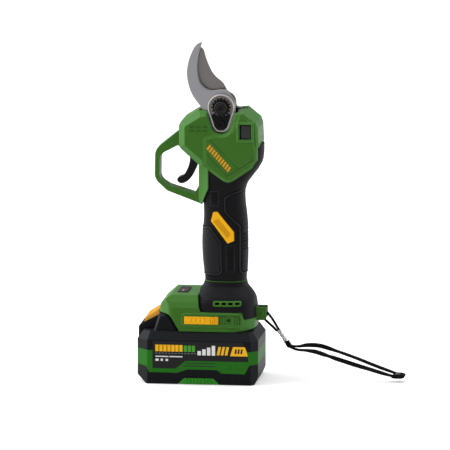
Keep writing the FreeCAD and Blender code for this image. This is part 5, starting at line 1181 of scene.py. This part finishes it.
def build_world():
    """Light tent: bright above and towards -X, dim on the camera's side, white when seen."""
    world = bpy.data.worlds.new("studio")
    bpy.context.scene.world = world
    world.use_nodes = True
    tree = world.node_tree

    def ramp(source, start, end, low, high):
        node = new_node(tree, "MapRange", {
            "From Min": start,
            "From Max": end,
            "To Min": low,
            "To Max": high,
            "Value": source,
        }, interpolation_type="SMOOTHSTEP")
        return node.outputs["Result"]

    def add(a, b):
        return new_node(tree, "Math", {0: a, 1: b}, operation="ADD").outputs[0]

    generated = new_node(tree, "TexCoord").outputs["Generated"]
    x, y, z = new_node(tree, "SeparateXYZ", {0: generated}).outputs
    minus_x = new_node(tree, "Math", {0: x, 1: -1.0}, operation="MULTIPLY").outputs[0]
    above = ramp(z, start=0.25, end=0.85, low=0.0, high=1.1)
    light = add(above, ramp(minus_x, start=0.5, end=0.9, low=0.0, high=2.3))
    light = add(light, ramp(x, start=0.5, end=0.9, low=0.0, high=0.3))
    light = add(light, ramp(y, start=-0.7, end=0.3, low=0.03, high=0.28))
    seen = new_node(tree, "LightPath").outputs["Is Camera Ray"]
    # sockets of a value mix: 0 factor, 2 and 3 the two values
    strength = new_node(tree, "Mix", {0: seen, 2: light, 3: 1.0}, data_type="FLOAT").outputs[0]
    wire(tree, tree.nodes["Background"], {"Strength": strength, "Color": (1, 1, 1, 1)})


def area_light(name, location, power):
    """Square light aimed at the middle of the tool."""
    data = bpy.data.lights.new(name, "AREA")
    data.energy = power
    data.size = 0.7
    light = bpy.data.objects.new(name, data)
    light.location = location
    aim = Vector((0, 0, 0.15)) - Vector(location)
    light.rotation_euler = aim.to_track_quat("-Z", "Y").to_euler()
    bpy.context.scene.collection.objects.link(light)


def build_camera():
    """Long lens from the -Y side, turned a little towards +X and raised."""
    distance, view_width, sensor = 8.0, 0.414, 36
    azimuth, elevation = math.radians(7), math.radians(9.5)
    data = bpy.data.cameras.new("camera")
    data.sensor_width = sensor
    data.lens = sensor * distance / view_width
    camera = bpy.data.objects.new("camera", data)
    bpy.context.scene.collection.objects.link(camera)
    back = Vector((
        math.sin(azimuth) * math.cos(elevation),
        -math.cos(azimuth) * math.cos(elevation),
        math.sin(elevation),
    ))
    camera.location = Vector((0.0012, 0, 0.1427)) + back * distance
    camera.rotation_euler = (-back).to_track_quat("-Z", "Y").to_euler()
    bpy.context.scene.camera = camera


# ------------------------------------------------------------------ build, in order
finish_cad_pieces()
build_grip()
build_grip_ring()
build_vent_shade()
build_lug()
build_accents()
build_fixed_blade()
build_moving_blade()
build_side_trim()
build_display()
build_plate_rim()
build_bolt_collar()
build_badge_relief()
build_button_marks()
build_pack_dress()
build_release()
build_springs()
build_cord()
build_sleeve()
build_strap()
build_floor()
build_world()
area_light("key", location=(-1.2, -0.5, 1.3), power=6.0)
area_light("fill", location=(1.3, -0.4, 0.9), power=0.3)
build_camera()
bpy.context.scene.view_settings.view_transform = "Standard"
